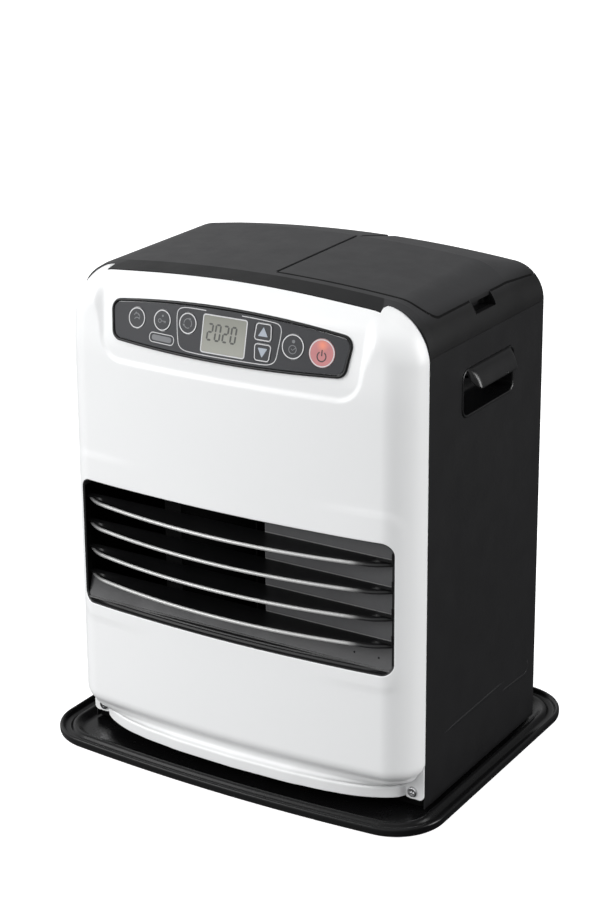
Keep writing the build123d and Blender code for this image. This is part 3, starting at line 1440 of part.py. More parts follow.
with BuildPart() as fuel_pump:
    with BuildSketch(Plane.XY.offset(SZ1)):
        with Locations((4, -42)):
            RectangleRounded(32, 32, 4)
    extrude(amount=3)
    with BuildSketch(Plane.XY.offset(SZ1)):
        with Locations((4, -42)):
            Circle(13)
    extrude(amount=54)
    fillet(fuel_pump.faces().sort_by(Axis.Z)[-1].edges(), 2)
    with BuildSketch(Plane.XY.offset(20)):
        with Locations((4, -42)):
            Circle(8)
    extrude(amount=SZ1 - 19)
fuel_pump.part.label = "fuel_pump"
save(fuel_pump.part, "fuel_pump")

with BuildPart() as fuel_pipe:
    with BuildLine() as pipe_line:
        FilletPolyline((-9.0, -42, 96), (BX, -42, 96), (BX, BY - 30.0, 96), radius=2.8)
    with BuildSketch(Plane(origin=(-9.0, -42, 96), x_dir=(0, 1, 0), z_dir=(-1, 0, 0))):
        Circle(2.0)
    sweep()
fuel_pipe.part.label = "fuel_pipe"
save(fuel_pipe.part, "fuel_pipe")

# ---------------------------------------------------------------------------
# electrics
# ---------------------------------------------------------------------------
with BuildPart() as power_board:
    with Locations((-70, -10, 308.8)):
        Box(140, 110, 1.6)
    for x, y in ((-134, -58), (-6, -58), (-134, 38), (-6, 38)):
        with Locations((x, y, 304)):
            Cylinder(3, 8)
    for cx, cy, sx_, sy_, sz_ in ((-110, -30, 42, 38, 34), (-60, -38, 22, 16, 20), (-36, -38, 14, 14, 24),
                                  (-60, 10, 34, 24, 16), (-20, 10, 20, 26, 18), (-112, 26, 30, 10, 14)):
        with Locations((cx, cy, 309.4 + sz_ / 2)):
            Box(sx_, sy_, sz_)
power_board.part.label = "power_board"
save(power_board.part, "power_board")

with BuildPart() as tilt_switch:
    with Locations((-138, -64, PAN_Z + SHEET + 1.5)):
        Box(34, 30, 3)
    with BuildSketch(Plane.XY.offset(PAN_Z + SHEET + 2)):
        with Locations((-138, -64)):
            Circle(12)
    extrude(amount=28)
    fillet(tilt_switch.faces().sort_by(Axis.Z)[-1].edges(), 3)
tilt_switch.part.label = "tilt_switch"
save(tilt_switch.part, "tilt_switch")

with BuildPart() as room_thermistor:
    with Locations((86, RP_Y1 + 2.0, 88)):
        Box(16, 4.0, 10)
    with BuildSketch(xz(RP_Y1 + 16)):
        with Locations((86, 88)):
            Circle(2.6)
    extrude(amount=14)
room_thermistor.part.label = "room_thermistor"
save(room_thermistor.part, "room_thermistor")

# printed for the record: hinge axis, key axes and centres, in metres
if __name__ == "__main__":
    print("hinge", [round(v / 1000, 6) for v in (hx, hy0, hz0 - FLOOR_Z)], [round(v, 6) for v in (H_DIR.X, H_DIR.Y, H_DIR.Z)])
    for n, p in KEY_PLANES.items():
        print(n, [round(v / 1000, 6) for v in (p.origin.X, p.origin.Y, p.origin.Z - FLOOR_Z)], [round(-v, 6) for v in p.z_dir])
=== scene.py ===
import bpy
import json
import math
import numpy as np
from mathutils import Matrix, Vector
from mathutils.bvhtree import BVHTree
from mathutils.geometry import delaunay_2d_cdt


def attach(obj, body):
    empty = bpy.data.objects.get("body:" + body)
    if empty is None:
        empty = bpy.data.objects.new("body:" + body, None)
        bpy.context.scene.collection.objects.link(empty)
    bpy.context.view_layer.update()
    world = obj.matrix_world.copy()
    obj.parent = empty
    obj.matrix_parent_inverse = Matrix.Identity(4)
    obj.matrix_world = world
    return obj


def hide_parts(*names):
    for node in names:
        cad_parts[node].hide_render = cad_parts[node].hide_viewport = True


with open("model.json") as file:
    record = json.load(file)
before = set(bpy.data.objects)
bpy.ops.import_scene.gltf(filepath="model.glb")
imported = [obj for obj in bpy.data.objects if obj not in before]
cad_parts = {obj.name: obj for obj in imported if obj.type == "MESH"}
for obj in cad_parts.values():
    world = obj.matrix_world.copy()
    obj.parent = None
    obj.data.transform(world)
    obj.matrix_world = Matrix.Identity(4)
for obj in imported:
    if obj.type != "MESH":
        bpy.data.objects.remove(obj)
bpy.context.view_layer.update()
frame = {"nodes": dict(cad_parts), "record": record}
NODES = frame["nodes"]
scene = bpy.context.scene
MM = 0.001
DATUM = 10.0  # heights below are drawn from a case datum this far under the floor, in millimetres
HALF_PI = math.pi / 2


# ---------------------------------------------------------------------------
# node materials
# ---------------------------------------------------------------------------
class Net:
    """A material's node tree, with short calls for the nodes used here."""

    def __init__(self, name):
        self.mat = bpy.data.materials.new(name)
        self.mat.use_nodes = True
        self.t = self.mat.node_tree
        self.t.nodes.clear()
        self.out = self.t.nodes.new("ShaderNodeOutputMaterial")
        self.co = self.t.nodes.new("ShaderNodeTexCoord").outputs["Object"]

    def node(self, kind, **at):
        n = self.t.nodes.new(kind)
        for k, v in at.items():
            setattr(n, k, v)
        return n

    def link(self, a, b):
        self.t.links.new(a, b)

    def stretched(self, x=1.0, y=1.0, z=1.0):
        m = self.node("ShaderNodeMapping")
        self.link(self.co, m.inputs["Vector"])
        m.inputs["Scale"].default_value = (x, y, z)
        return m.outputs[0]

    def noise(self, scale, detail=3.0, rough=0.55, co=None):
        n = self.node("ShaderNodeTexNoise")
        self.link(co or self.co, n.inputs["Vector"])
        n.inputs["Scale"].default_value = scale
        n.inputs["Detail"].default_value = detail
        n.inputs["Roughness"].default_value = rough
        return n.outputs["Fac"]

    def voronoi(self, scale, feature="F1", co=None):
        n = self.node("ShaderNodeTexVoronoi", feature=feature)
        self.link(co or self.co, n.inputs["Vector"])
        n.inputs["Scale"].default_value = scale
        return n.outputs["Distance"]

    def span(self, value, a, b, c, d, smooth=False):
        n = self.node("ShaderNodeMapRange", clamp=True)
        if smooth:
            n.interpolation_type = "SMOOTHSTEP"
        self.link(value, n.inputs["Value"])
        for i, v in zip(("From Min", "From Max", "To Min", "To Max"), (a, b, c, d)):
            n.inputs[i].default_value = v
        return n.outputs["Result"]

    def math(self, op, a, b=None):
        n = self.node("ShaderNodeMath", operation=op)
        for i, v in enumerate((a, b)):
            if v is None:
                continue
            if hasattr(v, "is_linked"):
                self.link(v, n.inputs[i])
            else:
                n.inputs[i].default_value = v
        return n.outputs[0]

    def mix(self, fac, a, b):
        n = self.node("ShaderNodeMix", data_type="RGBA")
        if hasattr(fac, "is_linked"):
            self.link(fac, n.inputs["Factor"])
        else:
            n.inputs["Factor"].default_value = fac
        for key, v in ((6, a), (7, b)):
            if hasattr(v, "is_linked"):
                self.link(v, n.inputs[key])
            else:
                n.inputs[key].default_value = (*v[:3], 1.0)
        return n.outputs[2]

    def bump(self, height, strength, distance, normal=None):
        n = self.node("ShaderNodeBump")
        self.link(height, n.inputs["Height"])
        n.inputs["Strength"].default_value = strength
        n.inputs["Distance"].default_value = distance
        if normal is not None:
            self.link(normal, n.inputs["Normal"])
        return n.outputs[0]

    def edge(self, radius, low=0.965, high=0.999):
        """1 on convex and concave edges, 0 on flats."""
        b = self.node("ShaderNodeBevel", samples=3)
        b.inputs["Radius"].default_value = radius
        g = self.node("ShaderNodeNewGeometry")
        d = self.node("ShaderNodeVectorMath", operation="DOT_PRODUCT")
        self.link(b.outputs[0], d.inputs[0])
        self.link(g.outputs["Normal"], d.inputs[1])
        return self.span(d.outputs["Value"], low, high, 1.0, 0.0)

    def principled(self, **at):
        p = self.node("ShaderNodeBsdfPrincipled")
        for k, v in at.items():
            name = k.replace("_", " ")
            if hasattr(v, "is_linked"):
                self.link(v, p.inputs[name])
            else:
                p.inputs[name].default_value = v
        self.link(p.outputs[0], self.out.inputs[0])
        return p


def tone(c, k):
    return tuple(min(1.0, max(0.0, v * k)) for v in c[:3])


def finish_mat(name, col, rough, var=0.08, rvar=0.06, spec=0.5, metal=0.0, coat=0.0, coat_rough=0.1,
               grain=1400.0, grain_depth=0.00004, grain_kind="noise", grain_strength=0.35,
               soft_wave=0.0, edge=0.0, edge_tone=1.6, edge_r=0.0009, streak=None, ior=1.5):
    """A finish with colour drift, roughness drift, a surface grain and lightly worn edges."""
    n = Net(name)
    drift = n.noise(9.0, 4.0, 0.6)
    fine = n.noise(160.0, 3.0, 0.6)
    m = n.math("MULTIPLY_ADD", fine, 0.35)
    n.link(drift, m.node.inputs[2])
    both = n.span(m, 0.35, 1.0, 0.0, 1.0)
    colour = n.mix(both, tone(col, 1 - var), tone(col, 1 + var))
    if edge:
        worn = n.edge(edge_r)
        patch = n.span(n.noise(220.0, 4.0, 0.7), 0.35, 0.65, 0.35, 1.0)
        f = n.math("MULTIPLY", n.math("MULTIPLY", worn, patch), edge)
        colour = n.mix(f, colour, tone(col, edge_tone))
    r = n.span(n.noise(38.0, 5.0, 0.65), 0.3, 0.7, max(0.02, rough - rvar), min(1.0, rough + rvar))
    co = n.stretched(*streak) if streak else None
    if grain_kind == "voronoi":
        g = n.voronoi(grain, co=co)
    else:
        g = n.noise(grain, 2.0, 0.5, co=co)
    normal = n.bump(g, grain_strength, grain_depth)
    if soft_wave:
        normal = n.bump(n.noise(14.0, 1.0, 0.4), 1.0, soft_wave, normal)
    p = n.principled(Base_Color=colour, Roughness=r, Normal=normal, Metallic=metal)
    p.inputs["Specular IOR Level"].default_value = spec
    p.inputs["IOR"].default_value = ior
    p.inputs["Coat Weight"].default_value = coat
    p.inputs["Coat Roughness"].default_value = coat_rough
    return n.mat


M = {}
M["white_coated_steel"] = finish_mat("white_enamel", (0.885, 0.89, 0.892), 0.36, var=0.008, rvar=0.035, spec=0.42,
                                     grain=900.0, grain_depth=0.00002, grain_strength=0.12, edge=0.0)
M["black_plastic"] = finish_mat("tray_black", (0.004, 0.004, 0.0043), 0.26, var=0.12, rvar=0.04, spec=0.26,
                                grain=2600.0, grain_depth=0.00003, grain_strength=0.2, edge=0.5, edge_tone=2.0)
M["dark_plastic"] = finish_mat("cover_moulding", (0.021, 0.021, 0.0225), 0.46, var=0.07, rvar=0.04, spec=0.42,
                               grain=2400.0, grain_depth=0.00005, grain_strength=0.3, edge=0.6, edge_tone=1.9)
M["dark_coated_steel"] = finish_mat("side_coat", (0.0105, 0.0105, 0.0112), 0.42, var=0.08, rvar=0.04, spec=0.25,
                                    grain=1500.0, grain_depth=0.00006, grain_kind="voronoi", grain_strength=0.3,
                                    edge=0.5, edge_tone=2.2)
M["handle_gloss"] = finish_mat("handle_moulding", (0.0045, 0.0045, 0.005), 0.3, var=0.1, rvar=0.03, spec=0.42,
                               grain=3000.0, grain_depth=0.00001, grain_strength=0.15, edge=0.4, edge_tone=2.4)
M["black_rubber"] = finish_mat("foot_rubber", (0.016, 0.016, 0.016), 0.62, var=0.15, rvar=0.08, spec=0.3,
                               grain=1800.0, grain_depth=0.00008, grain_strength=0.5, edge=0.4)
M["galvanised_sheet"] = finish_mat("galvanised", (0.5, 0.51, 0.52), 0.38, var=0.22, rvar=0.12, metal=1.0,
                                   grain=260.0, grain_depth=0.00004, grain_kind="voronoi", grain_strength=0.25)
M["rear_sheet"] = finish_mat("rear_coat", (0.03, 0.03, 0.032), 0.45, var=0.08, rvar=0.05, spec=0.4,
                             grain=1500.0, grain_depth=0.00006, grain_kind="voronoi", grain_strength=0.3,
                             edge=0.5, edge_tone=2.0)
M["black_screws"] = finish_mat("black_oxide", (0.03, 0.03, 0.032), 0.35, var=0.2, rvar=0.1, metal=0.6,
                               grain=3000.0, grain_depth=0.00003, edge=0.9, edge_tone=6.0, edge_r=0.0004)
M["plated_steel"] = finish_mat("bright_zinc", (0.62, 0.62, 0.63), 0.24, var=0.12, rvar=0.1, metal=1.0,
                               grain=2200.0, grain_depth=0.00003, grain_strength=0.2, edge=0.5, edge_tone=1.3)
M["black_gloss_plastic"] = finish_mat("bezel_gloss", (0.005, 0.005, 0.0056), 0.22, var=0.12, rvar=0.04, spec=0.3,
                                      grain=2600.0, grain_depth=0.00001, grain_strength=0.08, edge=0.25, edge_tone=2.5)
M["panel_film"] = finish_mat("keypad_film", (0.029, 0.030, 0.034), 0.42, var=0.06, rvar=0.04, spec=0.3,
                             grain=5200.0, grain_depth=0.00002, grain_strength=0.35)
M["dark_key"] = finish_mat("key_film", (0.032, 0.033, 0.037), 0.4, var=0.06, rvar=0.05, spec=0.3,
                           grain=5200.0, grain_depth=0.00002, grain_strength=0.35)
M["circuit_board"] = finish_mat("solder_mask", (0.02, 0.12, 0.05), 0.35, var=0.2, rvar=0.1,
                                grain=700.0, grain_depth=0.00005, grain_kind="voronoi")
M["switch_bodies"] = finish_mat("switch_body", (0.03, 0.03, 0.03), 0.4, grain=2200.0, edge=0.4)
M["outlet_steel"] = finish_mat("outlet_black", (0.0045, 0.0045, 0.0048), 0.42, var=0.15, rvar=0.07, spec=0.25,
                               grain=1800.0, grain_depth=0.00004, grain_strength=0.25, edge=0.35, edge_tone=3.0)
M["aluminised_sheet"] = finish_mat("aluminised", (0.30, 0.30, 0.30), 0.42, var=0.18, rvar=0.12, metal=0.9,
                                   grain=420.0, grain_depth=0.00003, grain_strength=0.3, streak=(6.0, 1.0, 1.0))
M["heat_steel"] = finish_mat("heat_tinted_steel", (0.34, 0.30, 0.26), 0.4, var=0.3, rvar=0.12, metal=1.0,
                             grain=500.0, grain_depth=0.00004, streak=(1.0, 1.0, 8.0))
M["cast_burner"] = finish_mat("cast_iron", (0.09, 0.088, 0.085), 0.68, var=0.3, rvar=0.1, metal=0.4,
                              grain=520.0, grain_depth=0.0003, grain_strength=0.7, edge=0.4)
M["motor_steel"] = finish_mat("motor_case", (0.42, 0.42, 0.42), 0.36, var=0.12, rvar=0.1, metal=1.0,
                              grain=900.0, grain_depth=0.00003, streak=(1.0, 1.0, 5.0), edge=0.4)
M["grey_plastic"] = finish_mat("grey_moulding", (0.22, 0.22, 0.225), 0.45, var=0.07, grain=2400.0, edge=0.3)
M["fan_aluminium"] = finish_mat("fan_blade", (0.62, 0.62, 0.63), 0.3, var=0.12, rvar=0.1, metal=1.0,
                                grain=700.0, grain_depth=0.00003, streak=(7.0, 1.0, 1.0), edge=0.4)
M["filter_plastic"] = finish_mat("filter_frame", (0.018, 0.018, 0.019), 0.5, var=0.1, grain=2200.0, edge=0.5)
M["cap_plastic"] = finish_mat("cap_moulding", (0.5, 0.03, 0.02), 0.36, var=0.08, grain=2200.0, edge=0.4)
M["copper_pipe"] = finish_mat("copper", (0.6, 0.3, 0.16), 0.3, var=0.2, rvar=0.12, metal=1.0, grain=800.0)
M["print_white"] = finish_mat("printed_line", (0.62, 0.62, 0.63), 0.45, var=0.05, grain=5200.0,
                              grain_depth=0.00001)
M["print_dim"] = finish_mat("printed_icon", (0.16, 0.165, 0.175), 0.45, var=0.05, grain=5200.0,
                            grain_depth=0.00001)
M["print_blue"] = finish_mat("printed_arrow", (0.36, 0.40, 0.46), 0.45, var=0.05, grain=5200.0,
                             grain_depth=0.00001)
M["print_dark"] = finish_mat("printed_dark", (0.05, 0.03, 0.032), 0.45, var=0.05, grain=5200.0,
                             grain_depth=0.00001)
M["lcd_segment"] = finish_mat("lcd_segment", (0.03, 0.031, 0.027), 0.35, var=0.05, grain=5200.0,
                              grain_depth=0.00001)


def rolled_edge():
    """Bright rolled edge of a blade, with painted shade towards both ends: near black and less metallic at the right
    end, dark grey at the left end.
    """
    n = Net("rolled_edge")
    sep = n.node("ShaderNodeSeparateXYZ")
    n.link(n.co, sep.inputs[0])
    x = sep.outputs[0]
    wander = n.span(n.noise(60.0, 3.0), 0.3, 0.7, -0.003, 0.003)
    # painted shade: towards the right end the edge is darkened, where the lip turns away from the light
    right_end_shade = n.span(n.math("ADD", x, wander), 0.106, 0.125, 0.0, 1.0, True)
    # painted shade: towards the left end the edge is darkened to dark grey
    left = n.span(n.math("ADD", x, wander), -0.142, -0.112, 1.0, 0.0, True)
    brushed = n.noise(420.0, 3.0, co=n.stretched(1.0, 6.0, 6.0))
    bright = n.mix(n.span(brushed, 0.3, 0.7, 0.0, 1.0), (0.43, 0.43, 0.425), (0.60, 0.60, 0.59))
    colour = n.mix(right_end_shade, bright, (0.012, 0.012, 0.0125))
    colour = n.mix(left, colour, (0.12, 0.12, 0.12))
    p = n.principled(Base_Color=colour, Roughness=n.span(brushed, 0.3, 0.7, 0.32, 0.42),
                     Normal=n.bump(brushed, 0.15, 0.00001), Metallic=n.span(right_end_shade, 0.0, 1.0, 0.35, 0.0))
    p.inputs["Specular IOR Level"].default_value = 0.4
    return n.mat


def lcd_front():
    """Greenish grey reflective display face, with painted light that makes it a little lighter towards its lower edge.
    """
    n = Net("lcd_face")
    sep = n.node("ShaderNodeSeparateXYZ")
    n.link(n.co, sep.inputs[0])
    # painted light: lighter band along the lower edge of the display
    low = n.span(sep.outputs[2], 0.368, 0.395, 1.0, 0.0)
    drift = n.span(n.noise(40.0, 3.0), 0.3, 0.7, -0.06, 0.06)
    fine = n.noise(3000.0, 2.0)
    c = n.mix(n.math("ADD", low, drift), (0.235, 0.238, 0.205), (0.33, 0.333, 0.295))
    p = n.principled(Base_Color=c, Roughness=n.span(fine, 0.3, 0.7, 0.28, 0.38), Normal=n.bump(fine, 0.15, 0.00001))
    p.inputs["Specular IOR Level"].default_value = 0.3
    return n.mat


def cover_top():
    """Fine-textured dark moulding with painted shade: the upright sides are painted far darker than the top, and the
    sloped strip along the front edge is smoother and painted darker.
    """
    n = Net("cover_moulding_painted_shade")
    sep = n.node("ShaderNodeSeparateXYZ")
    n.link(n.co, sep.inputs[0])
    ax = n.math("ABSOLUTE", sep.outputs[0])
    front = n.span(sep.outputs[1], -0.0822, -0.0808, 1.0, 0.0, True)
    ends = n.math("MULTIPLY_ADD", sep.outputs[1], 0.5)
    n.link(ax, ends.node.inputs[2])
    inner = n.span(ends, 0.0775, 0.0790, 1.0, 0.0, True)
    strip = n.math("MULTIPLY", front, inner)
    # painted shade: below the top the upright sides of the cover turn near black
    side = n.span(sep.outputs[2], 0.398, 0.412, 1.0, 0.0, True)
    drift = n.span(n.math("ADD", n.noise(9.0, 4.0, 0.6), n.math("MULTIPLY", n.noise(160.0, 3.0, 0.6), 0.35)),
                   0.35, 1.0, 0.0, 1.0)
    top = n.mix(drift, (0.030, 0.030, 0.0315), (0.034, 0.034, 0.0355))
    c = n.mix(side, top, (0.003, 0.003, 0.0033))
    # painted shade: the sloped front strip is darker than the top
    c = n.mix(strip, c, (0.0035, 0.0035, 0.004))
    grain = n.noise(2400.0, 2.0)
    r = n.math("ADD", n.span(n.noise(38.0, 5.0, 0.65), 0.3, 0.7, 0.42, 0.50), n.math("MULTIPLY", strip, -0.06))
    p = n.principled(Base_Color=c, Roughness=r, Normal=n.bump(grain, 0.3, 0.00005))
    p.inputs["Specular IOR Level"].default_value = 0.24
    return n.mat


# near black; on the white shell's inner flange faces it is painted shade, and on the sill it is the dark base tone
# beside painted lighter tones
M["outlet_rim"] = finish_mat("outlet_rim", (0.016, 0.016, 0.0165), 0.4, var=0.12, rvar=0.07, spec=0.35,
                             grain=1500.0, grain_depth=0.00002, grain_strength=0.2)
M["cover_top"] = cover_top()
M["bright_lip"] = rolled_edge()
M["lcd_front"] = lcd_front()


def lcd_glass():
    n = Net("lcd_ground")
    g = n.node("ShaderNodeTexGradient")
    fine = n.noise(3000.0, 2.0)
    drift = n.noise(30.0, 3.0)
    c = n.mix(n.span(drift, 0.3, 0.7, 0.0, 1.0), (0.335, 0.335, 0.285), (0.37, 0.37, 0.315))
    n.t.nodes.remove(g)
    p = n.principled(Base_Color=c, Roughness=n.span(fine, 0.3, 0.7, 0.3, 0.42),
                     Normal=n.bump(fine, 0.2, 0.00001))
    p.inputs["Specular IOR Level"].default_value = 0.3
    return n.mat


def clear_window():
    n = Net("window_film")
    fine = n.noise(60.0, 3.0)
    tr = n.node("ShaderNodeBsdfTransparent")
    gl = n.node("ShaderNodeBsdfGlossy")
    tint = n.mix(n.span(fine, 0.3, 0.7, 0.0, 1.0), (0.95, 0.96, 0.95), (0.98, 0.985, 0.98))
    n.link(tint, tr.inputs["Color"])
    n.link(n.span(fine, 0.3, 0.7, 0.04, 0.1), gl.inputs["Roughness"])
    fr = n.node("ShaderNodeFresnel")
    fr.inputs["IOR"].default_value = 1.4
    mx = n.node("ShaderNodeMixShader")
    n.link(fr.outputs[0], mx.inputs[0])
    n.link(tr.outputs[0], mx.inputs[1])
    n.link(gl.outputs[0], mx.inputs[2])
    n.link(mx.outputs[0], n.out.inputs[0])
    return n.mat


def power_key_mat(cx, cy, cz):
    """Pink translucent key cap, warmer and brighter round the lamp near its top."""
    n = Net("power_key_cap")
    m = n.node("ShaderNodeVectorMath", operation="DISTANCE")
    n.link(n.co, m.inputs[0])
    m.inputs[1].default_value = (cx, cy, cz)
    d = m.outputs["Value"]
    near = n.span(d, 0.0, 0.0062, 1.0, 0.0, True)
    fine = n.noise(2600.0, 2.0)
    drift = n.noise(90.0, 3.0)
    base = n.mix(n.span(drift, 0.3, 0.7, 0.0, 1.0), (0.50, 0.185, 0.19), (0.56, 0.21, 0.215))
    colour = n.mix(near, base, (0.74, 0.25, 0.16))
    p = n.principled(Base_Color=colour, Roughness=n.span(fine, 0.3, 0.7, 0.34, 0.44),
                     Normal=n.bump(fine, 0.3, 0.00002))
    n.link(n.mix(near, (0.0, 0.0, 0.0), (1.0, 0.22, 0.1)), p.inputs["Emission Color"])
    p.inputs["Emission Strength"].default_value = 0.09
    return n.mat


M["lcd_glass"] = lcd_glass()
M["clear_window"] = clear_window()

SUB = {s["node"]: s["material_slot"] for s in frame["record"]["subparts"]}


def dress(node, mat):
    ob = NODES[node]
    if not ob.material_slots:
        ob.data.materials.append(mat)
    for s in ob.material_slots:
        s.material = mat


for node, slot in SUB.items():
    if node in NODES and slot in M:
        dress(node, M[slot])


dress("top_cover", M["cover_top"])
dress("tank_lid", M["cover_top"])


# ---------------------------------------------------------------------------
# mesh helpers, in millimetres
# ---------------------------------------------------------------------------
def build(name, verts, faces, mats, face_mat=None, normals=None, smooth=True, body="heater", slot=None,
          replaces=(), sharp=None):
    me = bpy.data.meshes.new(name)
    v = np.asarray(verts, float) - np.array([0.0, 0.0, DATUM])
    v = v * MM
    me.from_pydata(v.tolist(), [], [[int(i) for i in f] for f in faces])
    for m in mats:
        me.materials.append(m)
    if face_mat is not None:
        me.polygons.foreach_set("material_index", np.asarray(face_mat, np.int32))
    me.polygons.foreach_set("use_smooth", np.full(len(me.polygons), smooth))
    me.update()
    if sharp is not None:
        me.set_sharp_from_angle(angle=math.radians(sharp))
    if normals is not None:
        me.normals_split_custom_set_from_vertices(np.asarray(normals, float).tolist())
    ob = bpy.data.objects.new(name, me)
    scene.collection.objects.link(ob)
    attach(ob, body)
    if replaces:
        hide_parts(*replaces)
    return ob


def grid(nu, nv, closed=False, flip=False, base=0):
    """Quads of a grid whose vertex i, j is base + i * nv + j; i may wrap."""
    out = []
    for i in range(nu if closed else nu - 1):
        k = (i + 1) % nu
        for j in range(nv - 1):
            q = [base + i * nv + j, base + k * nv + j, base + k * nv + j + 1, base + i * nv + j + 1]
            out.append(q[::-1] if flip else q)
    return out


def catmull(points, sub):
    """Points on a centripetal-like spline through the given rows."""
    p = np.asarray(points, float)
    q = np.concatenate([[2 * p[0] - p[1]], p, [2 * p[-1] - p[-2]]])
    out = []
    for i in range(1, len(q) - 2):
        a, b, c, d = q[i - 1], q[i], q[i + 1], q[i + 2]
        for t in np.linspace(0, 1, sub, endpoint=False):
            out.append(0.5 * ((2 * b) + (c - a) * t + (2 * a - 5 * b + 4 * c - d) * t ** 2
                              + (3 * b - a - 3 * c + d) * t ** 3))
    out.append(p[-1])
    return np.array(out)


def unit(v):
    return v / np.maximum(np.linalg.norm(v, axis=-1, keepdims=True), 1e-12)


def close_sheet(V, N, F, thick):
    """Outer face, inner face and edge strips of a sheet: points, normals, faces."""
    V, N = np.asarray(V), np.asarray(N)
    n = len(V)
    edges = {}
    for f in F:
        for a, b in zip(f, list(f[1:]) + [f[0]]):
            edges[(a, b)] = edges.get((a, b), 0) + 1
    rim = [(a, b) for (a, b) in edges if (b, a) not in edges]
    VV = np.concatenate([V, V - N * thick])
    NN = np.concatenate([N, -N])
    FF = [list(f) for f in F] + [[i + n for i in f[::-1]] for f in F]
    extra_v, extra_n = [], []
    base = 2 * n
    for a, b in rim:
        pa, pb, qb, qa = VV[a], VV[b], VV[b + n], VV[a + n]
        m = np.cross(qa - pa, pb - pa)
        m = m / (np.linalg.norm(m) + 1e-12)
        k = base + len(extra_v)
        extra_v += [pa, pb, qb, qa]
        extra_n += [m] * 4
        FF.append([k, k + 3, k + 2, k + 1])
    if extra_v:
        VV = np.concatenate([VV, extra_v])
        NN = np.concatenate([NN, extra_n])
    return VV, NN, FF


# ---------------------------------------------------------------------------
# white front: one pressed sheet
# ---------------------------------------------------------------------------
HW, Y_REAR = 162.9, -89.7
X1, Z1 = 137.9, 403.9
XC, ZC = 124.9, 393.9
RS, RT = 25.0, 28.5
PANEL_LOW = 58.0
TONGUE_V = 437.25
OPEN_X, OPEN_Z0, OPEN_Z1, OPEN_R = 147.8, 137.1, 245.5, 9.0

REC_Z = np.array([340, 352, 358, 362, 366, 370, 380, 391.5, 405, 410, 414, 418, 423, 427.5, 430.3, 432.5])
REC_Y = np.array([-126.6, -126.55, -126.5, -126.45, -126.4, -126.1, -124.6, -122.35, -119.45, -118.1, -116.4,
                  -113.8, -109.9, -105.6, -100.9, -95.0])


def smooth01(t):
    t = np.clip(t, 0, 1)
    return t * t * t * (t * (6 * t - 15) + 10)


def smooth_table(xs, ys):
    """A smooth function through table points."""
    from numpy import interp
    m = np.gradient(ys, xs)

    def f(x):
        x = np.clip(x, xs[0], xs[-1])
        i = np.clip(np.searchsorted(xs, x) - 1, 0, len(xs) - 2)
        h = xs[i + 1] - xs[i]
        t = (x - xs[i]) / h
        return ((2 * t ** 3 - 3 * t ** 2 + 1) * ys[i] + (t ** 3 - 2 * t ** 2 + t) * h * m[i]
                + (-2 * t ** 3 + 3 * t ** 2) * ys[i + 1] + (t ** 3 - t ** 2) * h * m[i + 1])
    return f


rec_floor = smooth_table(REC_Z, REC_Y)


def bow(x):
    return -128.0 + x * x / 2280.0


def rounded_box_sd(x, z, hx, z0, z1, r):
    """Signed distance to a rounded rectangle centred on x = 0, negative inside."""
    zc, hz = (z0 + z1) / 2, (z1 - z0) / 2
    qx, qz = np.abs(x) - hx + r, np.abs(z - zc) - hz + r
    return np.hypot(np.maximum(qx, 0), np.maximum(qz, 0)) + np.minimum(np.maximum(qx, qz), 0) - r


def recess_sd(x, z):
    """Signed distance to the control recess: sides that lean out upward, rounded lower corners."""
    lean = 7.0 / 79.5
    a = np.abs(x) - 119.0 - (z - 355.9) * lean
    a = a * math.cos(math.atan(lean))
    b = 355.9 - z
    r = 18.0
    qa, qb = a + r, b + r
    return np.hypot(np.maximum(qa, 0), np.maximum(qb, 0)) + np.minimum(np.maximum(qa, qb), 0) - r


